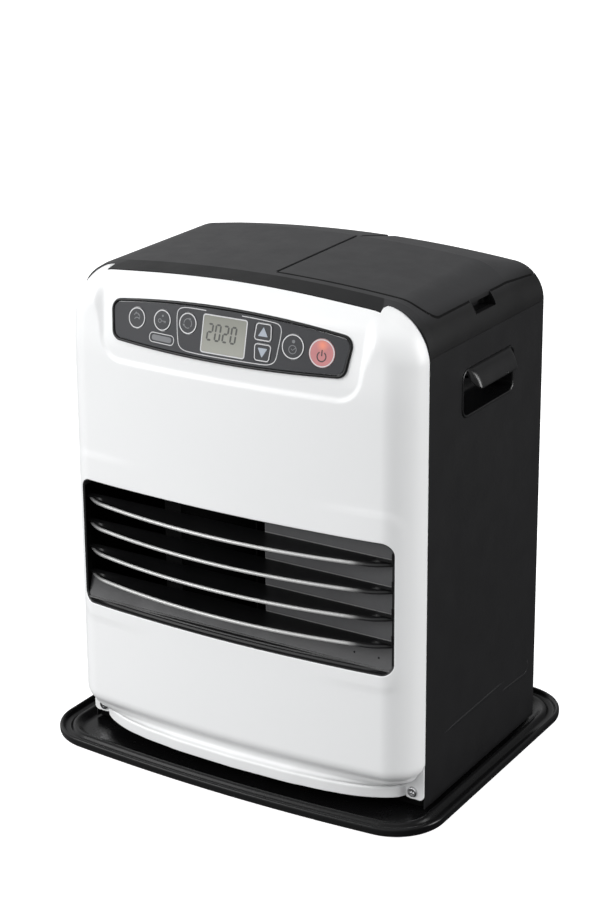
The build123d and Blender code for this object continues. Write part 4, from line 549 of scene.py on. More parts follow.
def shell_point(u, v):
    """Flat sheet coordinates to the pressed form, in millimetres."""
    u, v = np.asarray(u, float), np.asarray(v, float)
    s, a = np.where(u < 0, -1.0, 1.0), np.abs(u)
    x, z, back = a.copy(), v.copy(), np.zeros_like(a)
    side = (a > X1) & (v < ZC)
    al = np.clip((a - X1) / RS, 0, None)
    ac = np.minimum(al, HALF_PI)
    x = np.where(side, X1 + RS * np.sin(ac), x)
    back = np.where(side, RS * (1 - np.cos(ac)) + (al - ac) * RS, back)
    top = (v > Z1) & (a < XC)
    al = np.clip((v - Z1) / RT, 0, None)
    ac = np.minimum(al, HALF_PI)
    z = np.where(top, Z1 + RT * np.sin(ac), z)
    back = np.where(top, RT * (1 - np.cos(ac)) + (al - ac) * RT, back)
    cor = (a >= XC) & (v >= ZC)
    dx, dz = a - XC, v - ZC
    rho, th = np.hypot(dx, dz), np.arctan2(dz, dx)
    k = np.sin(th) ** 2
    r0, r = 13.0 - 3.0 * k, RS + 3.5 * k
    al = np.clip((rho - r0) / r, 0, None)
    ac = np.minimum(al, HALF_PI)
    rr = np.where(rho > r0, r0 + r * np.sin(ac), rho)
    x = np.where(cor, XC + rr * np.cos(th), x)
    z = np.where(cor, ZC + rr * np.sin(th), z)
    back = np.where(cor, np.where(rho > r0, r * (1 - np.cos(ac)) + (al - ac) * r, 0), back)
    # crowned top
    g = np.clip((z - 340.0) / 66.0, 0, 1)
    z = z - g * g * (3 - 2 * g) * x * x / 2600.0
    y = bow(x) + back + 3.0 * smooth01((z - 350.0) / 62.0)
    # soft raised surround of the outlet
    sd = rounded_box_sd(x, z, 157.0, 121.5, 272.0, 17.0)
    near = smooth01((np.abs(x) - 60.0) / 75.0)
    y = y - 0.7 * (1 - smooth01((sd + 6.5) / 9.5)) * near
    # control recess
    up = smooth01((z - 372.0) / 40.0) * smooth01((np.abs(x) - 60.0) / 40.0)
    lo, wide = 3.4 + 1.6 * up, 6.8 + 9.0 * up
    w = 1 - smooth01((recess_sd(x, z) + lo) / wide)
    floor = rec_floor(z) + x * x / 2280.0
    y = np.where(w > 0, y * (1 - w) + floor * w, y)
    z = z - 2.3 * (1 - w) * smooth01((-89.7 - y) / 13.0) * smooth01((z - 402.0) / 20.0)
    return np.stack([s * x, y, z], -1)


def shell_normal(u, v, h=0.03):
    a = shell_point(u + h, v) - shell_point(u - h, v)
    b = shell_point(u, v + h) - shell_point(u, v - h)
    n = unit(np.cross(a, b))
    # sheet coordinates run right and up, so the outward normal is towards -Y
    flip = (n[..., 1] > 0.2)[..., None]
    return np.where(flip, -n, n)


def rounded_loop(hx, z0, z1, r, step, grow=0.0):
    """Closed loop of a rounded rectangle, counterclockwise seen from the front, and its outward direction."""
    hx, z0, z1, r = hx + grow, z0 - grow, z1 + grow, r + grow
    pts, out = [], []

    def straight(a, b, d):
        n = max(1, int(round(math.dist(a, b) / step)))
        for i in range(n):
            t = i / n
            pts.append((a[0] + (b[0] - a[0]) * t, a[1] + (b[1] - a[1]) * t))
            out.append(d)

    def corner(cx, cz, t0):
        n = max(6, int(round(r * HALF_PI / (step * 0.5))))
        for i in range(n):
            t = t0 + HALF_PI * i / n
            pts.append((cx + r * math.cos(t), cz + r * math.sin(t)))
            out.append((math.cos(t), math.sin(t)))

    straight((-hx + r, z0), (hx - r, z0), (0, -1))
    corner(hx - r, z0 + r, -HALF_PI)
    straight((hx, z0 + r), (hx, z1 - r), (1, 0))
    corner(hx - r, z1 - r, 0)
    straight((hx - r, z1), (-hx + r, z1), (0, 1))
    corner(-hx + r, z1 - r, HALF_PI)
    straight((-hx, z1 - r), (-hx, z0 + r), (-1, 0))
    corner(-hx + r, z0 + r, math.pi)
    return np.array(pts), np.array(out)


def unroll_x(x):
    """Sheet coordinate of a point at |x| on the upright sides."""
    a = np.abs(x)
    t = np.clip((a - X1) / RS, 0, 1)
    return np.sign(x) * np.where(a > X1, X1 + RS * np.arcsin(t), a)


def recess_ring(off):
    """Points round the control recess at a distance from its outline, in sheet coordinates."""
    lean = 7.0 / 79.5
    r, out = 18.0, []
    th = math.atan(lean)
    zc = 355.9 + r
    # centre of the right lower corner
    xc = 119.0 + (zc - 355.9) * lean - r / math.cos(th)
    rr = r + off
    for z in np.arange(zc + 2, 431.0, 2.4):
        xx = 119.0 + (z - 355.9) * lean + off / math.cos(th)
        out.append((xx, z))
    out = out[::-1]
    for t in np.linspace(-th, -HALF_PI, 16):
        out.append((xc + rr * math.cos(t), zc + rr * math.sin(t)))
    n = int(xc / 2.4)
    for x in np.linspace(xc, 0, n, endpoint=False)[1:]:
        out.append((x, 355.9 - off))
    left = [(-x, z) for x, z in out[::-1]]
    return np.array(out + [(0, 355.9 - off)] + left)


def z_to_v(x, z):
    """Sheet coordinate of height z near the crowned, rolled top."""
    v = np.asarray(z, float).copy()
    for _ in range(12):
        p = shell_point_plain_z(x, v)
        v = v + (z - p)
    return v


def shell_point_plain_z(x, v):
    a = np.abs(x)
    zz = np.where((v > Z1) & (a < XC), Z1 + RT * np.sin(np.clip((v - Z1) / RT, 0, HALF_PI)), v)
    g = np.clip((zz - 340.0) / 66.0, 0, 1)
    return zz - g * g * (3 - 2 * g) * a * a / 2600.0


def front_shell():
    flange_r = 2.2
    loop, outdir = rounded_loop(OPEN_X, OPEN_Z0, OPEN_Z1, OPEN_R, 3.0, grow=flange_r)
    lu = np.stack([unroll_x(loop[:, 0]), loop[:, 1]], -1)
    # outer boundary of the sheet
    side = X1 + RS * HALF_PI
    bound = []
    for u in np.linspace(-side, side, 131):
        bound.append((u, PANEL_LOW))
    n_low = len(bound)
    for v in np.arange(PANEL_LOW + 3, ZC - 1, 3.0):
        bound.append((side, v))
    ths = np.linspace(0, 1, 25) * math.acos(2.0 / 38.5)
    for t in ths:
        k = math.sin(t) ** 2
        rho = 13.0 - 3 * k + (RS + 3.5 * k) * HALF_PI
        bound.append((XC + rho * math.cos(t), ZC + rho * math.sin(t)))
    xe, ye = bound[-1]
    for t in np.linspace(0, 1, 6)[1:]:
        bound.append((xe + (127.4 - xe) * t, ye + (TONGUE_V - ye) * t))
    right = bound[n_low:]
    for u in np.linspace(127.4, -127.4, 103)[1:-1]:
        bound.append((u, TONGUE_V))
    bound += [(-u, v) for u, v in right[::-1]]
    bound = np.array(bound)
    rings = []
    for off in (-4.6, -3.4, -2.5, -1.7, -0.85, 0.0, 0.85, 1.7, 2.5, 3.4, 4.6):
        r = recess_ring(off)
        v = z_to_v(r[:, 0], r[:, 1])
        rings.append(np.stack([r[:, 0], v], -1)[v < TONGUE_V - 1.0])
    rings = np.concatenate(rings)
    around = []
    for grow in (4.4, 7.0, 9.6, 12.4):
        p, _ = rounded_loop(OPEN_X, OPEN_Z0, OPEN_Z1, OPEN_R, 3.0, grow=grow)
        around.append(np.stack([unroll_x(p[:, 0]), p[:, 1]], -1))
    around = np.concatenate(around)
    gu, gv = np.meshgrid(np.arange(-174, 174.1, 3.0), np.arange(PANEL_LOW + 3, 447, 3.0))
    gu = gu + np.where((np.round(gv / 3) % 2) > 0, 0.0, 0.0)
    pts = np.stack([gu.ravel(), gv.ravel()], -1)
    # keep grid points inside, clear of rings and loops
    xr = shell_point(pts[:, 0], pts[:, 1])
    sd_open = rounded_box_sd(xr[:, 0], pts[:, 1], OPEN_X, OPEN_Z0, OPEN_Z1, OPEN_R)
    keep = sd_open > 14.0
    sd_rec = recess_sd(xr[:, 0], xr[:, 2])
    keep &= ~((np.abs(sd_rec) < 5.6) & (xr[:, 2] > 345))
    keep &= ~((np.abs(pts[:, 0]) < 129.5) & (pts[:, 1] > TONGUE_V - 1.6))
    rho = np.hypot(np.abs(pts[:, 0]) - XC, pts[:, 1] - ZC)
    th = np.arctan2(pts[:, 1] - ZC, np.abs(pts[:, 0]) - XC)
    lim = 13.0 - 3 * np.sin(th) ** 2 + (RS + 3.5 * np.sin(th) ** 2) * HALF_PI
    incor = (np.abs(pts[:, 0]) > XC) & (pts[:, 1] > ZC)
    keep &= ~(incor & (rho > lim - 1.6))
    keep &= ~(~incor & (np.abs(pts[:, 0]) > side - 1.6))
    pts = pts[keep]
    ok = rings[:, 1] > 0
    rings = rings[ok]
    allp = np.concatenate([bound, lu, rings, around, pts])
    nb, nl = len(bound), len(lu)
    edges = [(i, (i + 1) % nb) for i in range(nb)] + [(nb + i, nb + (i + 1) % nl) for i in range(nl)]
    res = delaunay_2d_cdt([Vector((float(a), float(b))) for a, b in allp], edges, [], 0, 1e-5)
    P = np.array([tuple(p) for p in res[0]])
    tri = [list(f) for f in res[2]]
    cen = np.array([P[f].mean(0) for f in tri])

    def inside(poly, q):
        x, y = poly[:, 0], poly[:, 1]
        x2, y2 = np.roll(x, -1), np.roll(y, -1)
        c = np.zeros(len(q), bool)
        for a, b, a2, b2 in zip(x, y, x2, y2):
            if b == b2:
                continue
            hit = ((b > q[:, 1]) != (b2 > q[:, 1])) & (q[:, 0] < (a2 - a) * (q[:, 1] - b) / (b2 - b) + a)
            c ^= hit
        return c
    keep = inside(bound, cen) & ~inside(lu, cen)
    tri = [t for t, k in zip(tri, keep) if k]
    area = [np.cross(P[t[1]] - P[t[0]], P[t[2]] - P[t[0]]) for t in tri]
    tri = [t if a > 0 else t[::-1] for t, a in zip(tri, area)]
    V = shell_point(P[:, 0], P[:, 1])
    N = shell_normal(P[:, 0], P[:, 1])
    # index of the input points in the result
    where = {}
    for i, src in enumerate(res[3]):
        for s in src:
            where[s] = i
    b_idx = [where[i] for i in range(nb)]
    l_idx = [where[nb + i] for i in range(nl)]
    V, N, F = list(V), list(N), [list(t) for t in tri]
    # straight run of the sides and shoulders back to the seam
    run = b_idx[n_low - 1:n_low - 1 + len(right) - 4]
    for chain, flip in ((run, False), ([b_idx[0]] + b_idx[::-1][:len(right) - 5], True)):
        prev = chain
        for f in (0.5, 1.0):
            new = []
            for i in chain:
                p, n = V[i].copy(), N[i].copy()
                n[1] = 0.0
                n = n / np.linalg.norm(n)
                p[1] = p[1] + (Y_REAR - p[1]) * f
                V.append(p)
                N.append(n)
                new.append(len(V) - 1)
            for a in range(len(chain) - 1):
                q = [prev[a], new[a], new[a + 1], prev[a + 1]]
                F.append(q[::-1] if flip else q)
            prev = new
        if flip:
            low_left = (chain[0], prev[0])
        else:
            low_right = (chain[0], prev[0])
    # rolled flange round the outlet; its inner faces take the near-black outlet_rim finish as painted shade, where the
    # white sheet turns into the dark opening
    ring = l_idx
    n0 = [N[i] for i in l_idx]
    p0 = [V[i] for i in l_idx]
    rows = []
    for b in np.radians([15, 30, 45, 60, 75, 90]):
        rows.append((flange_r * math.sin(b), flange_r * (1 - math.cos(b)), b))
    for depth in (3.0, 8.0):
        rows.append((flange_r, flange_r + depth, HALF_PI))
    prev = ring
    dark = set()
    for inn, dep, b in rows:
        new = []
        for i in range(nl):
            e = np.array([outdir[i][0], 0.0, outdir[i][1]])
            n = n0[i]
            e = e - n * np.dot(e, n)
            e = e / np.linalg.norm(e)
            back = np.array([0.0, 1.0, 0.0]) if dep > flange_r + 0.1 else -n
            p = p0[i] - e * inn - n * min(dep, flange_r) + (back * (dep - flange_r) if dep > flange_r else 0)
            V.append(p)
            N.append(n * math.cos(b) - e * math.sin(b))
            new.append(len(V) - 1)
        for a in range(nl):
            k = (a + 1) % nl
            # painted shade on the inner flange faces
            if b > 0.6:
                dark.add(len(F))
            F.append([prev[a], prev[k], new[k], new[a]])
        prev = new
    # lower roll, cove and strip
    low = [low_left[1]] + b_idx[:n_low] + [low_right[1]]
    P0 = np.array([V[i] for i in low])
    N0 = np.array([N[i] for i in low])
    N0[:, 2] = 0
    N0 = unit(N0)
    half = [(0, -129.8), (51, -128.1), (66, -126.4), (85, -124.0), (92, -122.6), (108, -118.6), (120, -113.9),
            (130, -108.6), (137, -104.0), (143.0, -98.6), (146.0, -94.0), (146.8, -91.5)]
    q = catmull(half, 12)
    q[:, 0] = np.maximum(q[:, 0], 0)
    q[:, 1] += 5.3 * (1 - (q[:, 0] / 146.8) ** 4)
    ql = np.concatenate([[0], np.cumsum(np.hypot(*np.diff(q, axis=0).T))])
    right_half = P0[:, 0] >= 0
    mid = len(P0) // 2
    step = np.hypot(np.diff(P0[:, 0]), np.diff(P0[:, 1]))
    pos = np.concatenate([[0], np.cumsum(step)])
    pos = pos - pos[mid]
    L = pos[-1]
    rowsets = []
    for i in range(len(P0)):
        s, l = (1 if pos[i] >= 0 else -1), abs(pos[i])
        m = l if l < 110 else 110 + (l - 110) * (ql[-1] - 110) / (L - 110)
        qx, qy = np.interp(m, ql, q[:, 0]) * s, np.interp(m, ql, q[:, 1])
        p, inw = P0[i][:2], -N0[i][:2]
        qq = np.array([qx, qy])
        t = unit(np.array([np.interp(m + 1, ql, q[:, 0]) - np.interp(m - 1, ql, q[:, 0]),
                           np.interp(m + 1, ql, q[:, 1]) - np.interp(m - 1, ql, q[:, 1])]))
        qin = np.array([-t[1] * s, t[0]])
        c = [(*p, 58.0), (*p, 53.5), (*(p + inw * 0.5), 50.2), (*(p + inw * 1.6), 47.4), (*(p + inw * 3.3), 45.0),
             (*(p + inw * 5.0), 42.9), (*(p + inw * 6.1), 40.8), (*(p * 0.92 + qq * 0.08 + inw * 6.2), 38.8)]
        back = p * 0.7 + qq * 0.3 + inw * 5.2
        c += [(*back, 36.6), (*(p * 0.35 + qq * 0.65 + inw * 2.6), 34.2), (*(qq + qin * 0.7), 32.2),
              (*qq, 30.6), (*qq, 28.0), (*qq, 25.0), (*qq, 22.6), (*(qq + qin * 0.8), 22.0)]
        rowsets.append(catmull(c, 4))
    G = np.array(rowsets)
    nu, nv = G.shape[:2]
    du = np.gradient(G, axis=0)
    dv = np.gradient(G, axis=1)
    GN = unit(np.cross(dv, du))
    GN[:, 0] = N0
    base = len(V)
    idx = np.zeros((nu, nv), int)
    for i in range(nu):
        idx[i, 0] = low[i]
        for j in range(1, nv):
            idx[i, j] = len(V)
            V.append(G[i, j])
            N.append(GN[i, j])
    for i in range(nu - 1):
        for j in range(nv - 1):
            F.append([idx[i, j], idx[i, j + 1], idx[i + 1, j + 1], idx[i + 1, j]])
    V, N = np.array(V), np.array(N)
    N = unit(N)
    count = len(F)
    VV, NN, FF = close_sheet(V, N, F, 1.1)
    fm = [1 if i in dark else 0 for i in range(count)] + [0] * (len(FF) - count)
    return build("front_shell", VV, FF, [M["white_coated_steel"], M["outlet_rim"]], face_mat=fm, normals=NN, slot="white_coated_steel",
                 replaces=("front_panel",))


front = front_shell()



def extruded(poly, lo, hi, axis="y"):
    """Closed prism of a polygon of (x, z) points between two depths."""
    n = len(poly)
    V = [(x, lo, z) for x, z in poly] + [(x, hi, z) for x, z in poly]
    F = [list(range(n)), [i + n for i in range(n)][::-1]]
    for i in range(n):
        k = (i + 1) % n
        F.append([k, i, i + n, k + n])
    return V, F


def tabs():
    """Two flat ears at the lower corners that carry the screws."""
    V, F = [], []
    for s in (-1, 1):
        pts = [(144.6, 53.5), (144.6, 28.0), (145.4, 23.8), (147.6, 21.4), (150.5, 20.8)]
        for t in np.linspace(-HALF_PI, 0, 8):
            pts.append((158.9 + 4 * math.cos(t), 24.8 + 4 * math.sin(t)))
        pts += [(162.9, 53.5)]
        poly = [(s * x, z) for x, z in pts]
        if s < 0:
            poly = poly[::-1]
        v, f = extruded(poly, -91.6, -90.4)
        b = len(V)
        V += v
        F += [[i + b for i in q] for q in f]
    return build("front_tabs", V, F, [M["white_coated_steel"]], smooth=False, slot="white_coated_steel")


tabs()


# ---------------------------------------------------------------------------
# drip tray
# ---------------------------------------------------------------------------
def tray():
    R, W = 1613.3, 185.5
    cy0 = -149.5 + R
    phi = math.asin(140.5 / (R - 45))
    cyf = cy0 - math.sqrt((R - 45) ** 2 - 140.5 ** 2)
    base = []
    for t in np.linspace(-phi, phi, 81)[:-1]:
        base.append(((R - 45) * math.sin(t), cy0 - (R - 45) * math.cos(t), math.sin(t), -math.cos(t)))
    for t in np.linspace(-HALF_PI + phi, 0, 22)[:-1]:
        base.append((140.5, cyf, math.cos(t), math.sin(t)))
    for y in np.linspace(cyf, 104.5, 24)[:-1]:
        base.append((140.5, y, 1.0, 0.0))
    for t in np.linspace(0, HALF_PI, 22)[:-1]:
        base.append((140.5, 104.5, math.cos(t), math.sin(t)))
    for x in np.linspace(140.5, -140.5, 30)[:-1]:
        base.append((x, 104.5, 0.0, 1.0))
    for t in np.linspace(HALF_PI, math.pi, 22)[:-1]:
        base.append((-140.5, 104.5, math.cos(t), math.sin(t)))
    for y in np.linspace(104.5, cyf, 24)[:-1]:
        base.append((-140.5, y, -1.0, 0.0))
    for t in np.linspace(math.pi, 3 * HALF_PI - phi, 22)[:-1]:
        base.append((-140.5, cyf, math.cos(t), math.sin(t)))
    base = np.array(base)
    sec = [(6.0, 0.0), (2.8, 0.0), (1.4, 0.6), (0.35, 2.2), (0.05, 4.0), (0.05, 6.0), (0.5, 7.4), (1.7, 7.97),
           (2.9, 7.6), (3.8, 6.3), (4.5, 4.7), (5.6, 3.85), (7.6, 3.65), (9.4, 3.8), (10.6, 4.9), (11.8, 6.1),
           (13.2, 6.55), (14.8, 6.4), (16.6, 5.2), (18.6, 3.6), (20.4, 2.3), (22.4, 1.7), (25.0, 1.6), (30.0, 1.6)]
    c = catmull(sec, 3)
    c[:, 1] = np.clip(c[:, 1], 0.0, None)
    nu, nv = len(base), len(c)
    G = np.zeros((nu, nv, 3))
    for j, (d, z) in enumerate(c):
        G[:, j, 0] = base[:, 0] + base[:, 2] * (45 - d)
        G[:, j, 1] = base[:, 1] + base[:, 3] * (45 - d)
        G[:, j, 2] = z + DATUM
    # a moulded surface is never dead flat
    wob = 0.05 * np.sin(G[..., 0] * 0.021 + 1.3) * np.sin(G[..., 1] * 0.017 + 0.4)
    G[:, :, 2] += np.where(G[:, :, 2] > DATUM + 2.0, wob, 0)
    G[:, :, 2] = np.minimum(G[:, :, 2], DATUM + 8.0)
    tz = np.gradient(c, axis=0)
    tz = tz / np.hypot(tz[:, 0], tz[:, 1])[:, None]
    N = np.zeros_like(G)
    # along the section the inset grows by tz0 and the height by tz1; outward normal is (tz1, tz0) turned
    N[..., 0] = base[:, None, 2] * tz[None, :, 1]
    N[..., 1] = base[:, None, 3] * tz[None, :, 1]
    N[..., 2] = tz[None, :, 0]
    V = G.reshape(-1, 3)
    NN = N.reshape(-1, 3)
    F = grid(nu, nv, closed=True)
    n0 = len(V)
    # floor inside and underside
    inner = [i * nv + nv - 1 for i in range(nu)]
    under = [i * nv for i in range(nu)]
    V = np.concatenate([V, V[inner], V[under]])
    NN = np.concatenate([NN, np.tile([0, 0, 1.0], (nu, 1)), np.tile([0, 0, -1.0], (nu, 1))])
    F.append([n0 + i for i in range(nu)])
    F.append([n0 + nu + i for i in range(nu)][::-1])
    return build("tray_moulding", V, F, [M["black_plastic"]], normals=NN, slot="black_plastic",
                 replaces=("drip_tray",))


tray()


# ---------------------------------------------------------------------------
# louvre blades with a rolled bright front edge
# ---------------------------------------------------------------------------
LOUVRE_Z = (228.6, 206.1, 183.4, 160.7)


def blade(k, z0):
    xs = np.linspace(-147.0, 147.0, 121)
    rows, br = [], 1.55
    for x in xs:
        yf = -136.5 + x * x / 1120.0 + 7.0 * max(0.0, (abs(x) - 126.0) / 21.0) ** 2
        yc, zc = yf + br, z0 - br
        pts = []
        for a in np.radians(np.linspace(62, 300, 18)):
            pts.append((yc + br * math.cos(a), zc + br * math.sin(a)))
        yr = -109.6
        under = [(yf + 3.4, z0 - 1.35), (yf * 0.55 + yr * 0.45, z0 - 1.2), (yr - 5, z0 + 0.2), (yr, z0 + 0.9)]
        top = [(yr, z0 + 1.9), (yr - 5, z0 + 1.3), (yf * 0.55 + yr * 0.45, z0 - 0.15), (yf + 3.4, z0 - 0.25)]
        rows.append([(x, y, z) for y, z in pts + under + top])
    G = np.array(rows)
    nu, nv = G.shape[:2]
    V = G.reshape(-1, 3)
    F, fm = [], []
    for i in range(nu - 1):
        for j in range(nv):
            l = (j + 1) % nv
            F.append([i * nv + j, i * nv + l, (i + 1) * nv + l, (i + 1) * nv + j])
            fm.append(1 if 1 <= j < 16 else 0)
    F.append([j for j in range(nv)][::-1])
    F.append([(nu - 1) * nv + j for j in range(nv)])
    fm += [0, 0]
    V, F, fm = V.tolist(), F, fm
    for s in (-1, 1):
        b = len(V)
        x0, x1 = s * 146.4, s * 147.2
        y0, y1, za, zb = -116.6, -110.0, z0 + 0.6, z0 + 9.6
        V += [(x0, y0, za), (x1, y0, za), (x1, y1, za), (x0, y1, za), (x0, y0, zb), (x1, y0, zb), (x1, y1, zb), (x0, y1, zb)]
        q = [[0, 3, 2, 1], [4, 5, 6, 7], [0, 1, 5, 4], [1, 2, 6, 5], [2, 3, 7, 6], [3, 0, 4, 7]]
        if s < 0:
            q = [f[::-1] for f in q]
        F += [[i + b for i in f] for f in q]
        fm += [0] * 6
    # thin strip along the rear edge of the blade from x 27.5 to 146; its long faces take a light grey as a painted
    # highlight line
    b = len(V)
    for x in (27.5, 146.0):
        V += [(x, y, z) for y, z in ((-110.3, z0 + 1.7), (-109.75, z0 + 1.7), (-109.75, z0 + 2.4), (-110.3, z0 + 2.4))]
    F += [[b, b + 1, b + 2, b + 3][::-1], [b + 4, b + 5, b + 6, b + 7]]
    fm += [0, 0]
    for j in range(4):
        k2 = (j + 1) % 4
        F.append([b + j, b + k2, b + 4 + k2, b + 4 + j][::-1])
        fm.append(2)
    return build("louvre_blade_formed_%d" % k, V, F, [M["outlet_steel"], M["bright_lip"], M["cut_edge"]], face_mat=fm,
                 sharp=38,
                 slot="outlet_steel", replaces=("louvre_blade_%d" % k,))


# grey for the lit slope of the sill: painted light
M["sill_grey"] = finish_mat("sill_grey", (0.045, 0.045, 0.0465), 0.38, var=0.16, rvar=0.08, spec=0.4, metal=0.2,
                            grain=900.0, grain_depth=0.00003, grain_strength=0.25, streak=(5.0, 1.0, 1.0))
# light grey for thin painted highlight lines: the rear edge of each blade and two small steps on the sill
M["cut_edge"] = finish_mat("cut_edge", (0.22, 0.22, 0.22), 0.4, var=0.2, rvar=0.08, spec=0.4, metal=0.3,
                           grain=900.0, grain_depth=0.00002)
for k, z0 in enumerate(LOUVRE_Z):
    blade(k + 1, z0)


def sill():
    """Formed floor of the outlet: a flat ledge that follows the bow and a slope that rises behind it, its faces in
    three tones as painted light and shade on one sheet.
    """
    xs = np.linspace(-146.8, 146.8, 61)
    rows = []
    for x in xs:
        yf = float(bow(x))
        pts = [(yf + 3.6, 137.0), (yf + 4.2, 138.7), (yf + 5.4, 139.2), (yf + 5.9, 139.9), (yf + 6.5, 139.9),
               (yf + 6.9, 139.2), (min(yf + 8.5, -117.4), 139.3), (-117.2, 139.5), (-116.9, 140.2), (-116.4, 140.4),
               (-115.9, 140.3), (-113.4, 147.0), (-111.2, 154.5), (-110.6, 157.5), (-110.3, 157.5), (-110.9, 153.0),
               (-113.1, 146.0), (-115.6, 138.4), (-117.4, 137.6), (yf + 5.2, 137.0)]
        rows.append([(x, min(y, -110.2), z) for y, z in pts])
    G = np.array(rows)
    nu, nv = G.shape[:2]
    V = G.reshape(-1, 3).tolist()
    F, fm = [], []
    # painted light: the rising slope (faces 10 to 12) is grey and two small steps (faces 3 and 8) are light grey,
    # against the near-black rest of the sheet
    painted_tone_of = {3: 2, 8: 2, 10: 3, 11: 3, 12: 3}
    for i in range(nu - 1):
        for j in range(nv):
            l = (j + 1) % nv
            F.append([i * nv + j, (i + 1) * nv + j, (i + 1) * nv + l, i * nv + l])
            fm.append(painted_tone_of.get(j, 0))
    F.append([j for j in range(nv)])
    F.append([(nu - 1) * nv + j for j in range(nv)][::-1])
    fm += [0, 0]
    return build("outlet_sill", V, F, [M["outlet_rim"], M["outlet_grey"], M["cut_edge"], M["sill_grey"]], face_mat=fm,
                 sharp=25,
                 slot="outlet_steel", replaces=("outlet_floor_plate",))



M["outlet_grey"] = finish_mat("outlet_grey", (0.1, 0.1, 0.103), 0.4, var=0.14, rvar=0.08, spec=0.45, metal=0.25,
                              grain=900.0, grain_depth=0.00004, grain_strength=0.25, streak=(1.0, 1.0, 5.0),
                              edge=0.6, edge_tone=3.2)
# near-lightless black as painted shade for the parts deep inside and under the case, and for the sill holes
M["inner_black"] = finish_mat("inner_black", (0.002, 0.002, 0.002), 0.6, var=0.2, rvar=0.1, spec=0.05,
                              grain=900.0, grain_depth=0.00004)
dress("outlet_blanking_plate", M["outlet_grey"])
sill()
# painted shade: the duct, combustion chamber, louvre brackets and base pan are made near-lightless black where they sit
# in shade
for node in ("air_duct", "combustion_chamber", "louvre_brackets", "base_pan"):
    dress(node, M["inner_black"])


def dome(cx, cy, cz, r, h, axis, rings=5, seg=16):
    """Points and faces of a low dome standing on a plane; axis is its direction."""
    a = Vector(axis).normalized()
    t = a.orthogonal().normalized()
    b = a.cross(t)
    V, F = [], []
    for i in range(rings):
        ph = HALF_PI * i / rings
        for j in range(seg):
            th = 2 * math.pi * j / seg
            p = (Vector((cx, cy, cz)) + (t * math.cos(th) + b * math.sin(th)) * r * math.cos(ph) + a * h * math.sin(ph))
            V.append(tuple(p))
    V.append(tuple(Vector((cx, cy, cz)) + a * h))
    for i in range(rings - 1):
        for j in range(seg):
            k = (j + 1) % seg
            F.append([i * seg + j, i * seg + k, (i + 1) * seg + k, (i + 1) * seg + j])
    for j in range(seg):
        F.append([(rings - 1) * seg + j, (rings - 1) * seg + (j + 1) % seg, rings * seg])
    F.append(list(range(seg))[::-1])
    return V, F


def gather(parts):
    V, F = [], []
    for v, f in parts:
        b = len(V)
        V += [tuple(p) for p in v]
        F += [[i + b for i in q] for q in f]
    return V, F


rivets = []
for z in LOUVRE_Z:
    for x in (-66.0, -60.5):
        rivets.append(dome(x, -109.35, z - 9.5, 1.5, 0.7, (0, -1, 0)))
build("support_rivets", *gather(rivets), [M["outlet_grey"]], slot="outlet_steel")
# two small dark domes on the sill slope stand in for holes: painted shade
holes = []
for x, z in ((111.5, 147.8), (133.5, 147.8)):
    y = -115.9 + (z - 140.3) * (2.5 / 6.7)
    holes.append(dome(x, y + 0.1, z, 1.15, 0.25, (0, -0.94, 0.35), 3, 14))
build("sill_hole_shade_dots", *gather(holes), [M["inner_black"]], slot="outlet_steel")
welds = []
for z in LOUVRE_Z:
    for x in (42.0, 47.5):
        welds.append(dome(x, -109.42, z - 5.0, 1.3, 0.35, (0, -1, 0)))
build("plate_weld_marks", *gather(welds), [M["outlet_steel"]], slot="outlet_steel")


# ---------------------------------------------------------------------------
# control panel: bezel, film, printed lines, display
# ---------------------------------------------------------------------------
LEAN = math.radians(12.5)
FN = np.array([0.0, -math.cos(LEAN), math.sin(LEAN)])
FV = np.array([0.0, math.sin(LEAN), math.cos(LEAN)])
F0 = np.array([0.0, -122.8, 391.5])
FR = 1140.0


def on_face(x, h, n):
    """Point on the bowed control face."""
    x, h, n = np.broadcast_arrays(np.asarray(x, float), np.asarray(h, float), np.asarray(n, float))
    dd = n - x * x / (2 * FR)
    p = F0 + h[..., None] * FV + dd[..., None] * FN
    p[..., 0] = x
    return p


def arc3(a, m, b, n):
    """Points on the circle through three points, from a to b."""
    ax, ay, bx, by, cx, cy = *a, *m, *b
    dd = 2 * (ax * (by - cy) + bx * (cy - ay) + cx * (ay - by))
    ux = ((ax * ax + ay * ay) * (by - cy) + (bx * bx + by * by) * (cy - ay) + (cx * cx + cy * cy) * (ay - by)) / dd
    uy = ((ax * ax + ay * ay) * (cx - bx) + (bx * bx + by * by) * (ax - cx) + (cx * cx + cy * cy) * (bx - ax)) / dd
    r = math.hypot(ax - ux, ay - uy)
    t0, t1 = math.atan2(ay - uy, ax - ux), math.atan2(cy - uy, cx - ux)
    tm = math.atan2(by - uy, bx - ux)
    if t1 < t0:
        t1 += 2 * math.pi
    if not (t0 <= tm <= t1 or t0 <= tm + 2 * math.pi <= t1):
        t1 -= 2 * math.pi
    return [(ux + r * math.cos(t), uy + r * math.sin(t)) for t in np.linspace(t0, t1, n)]


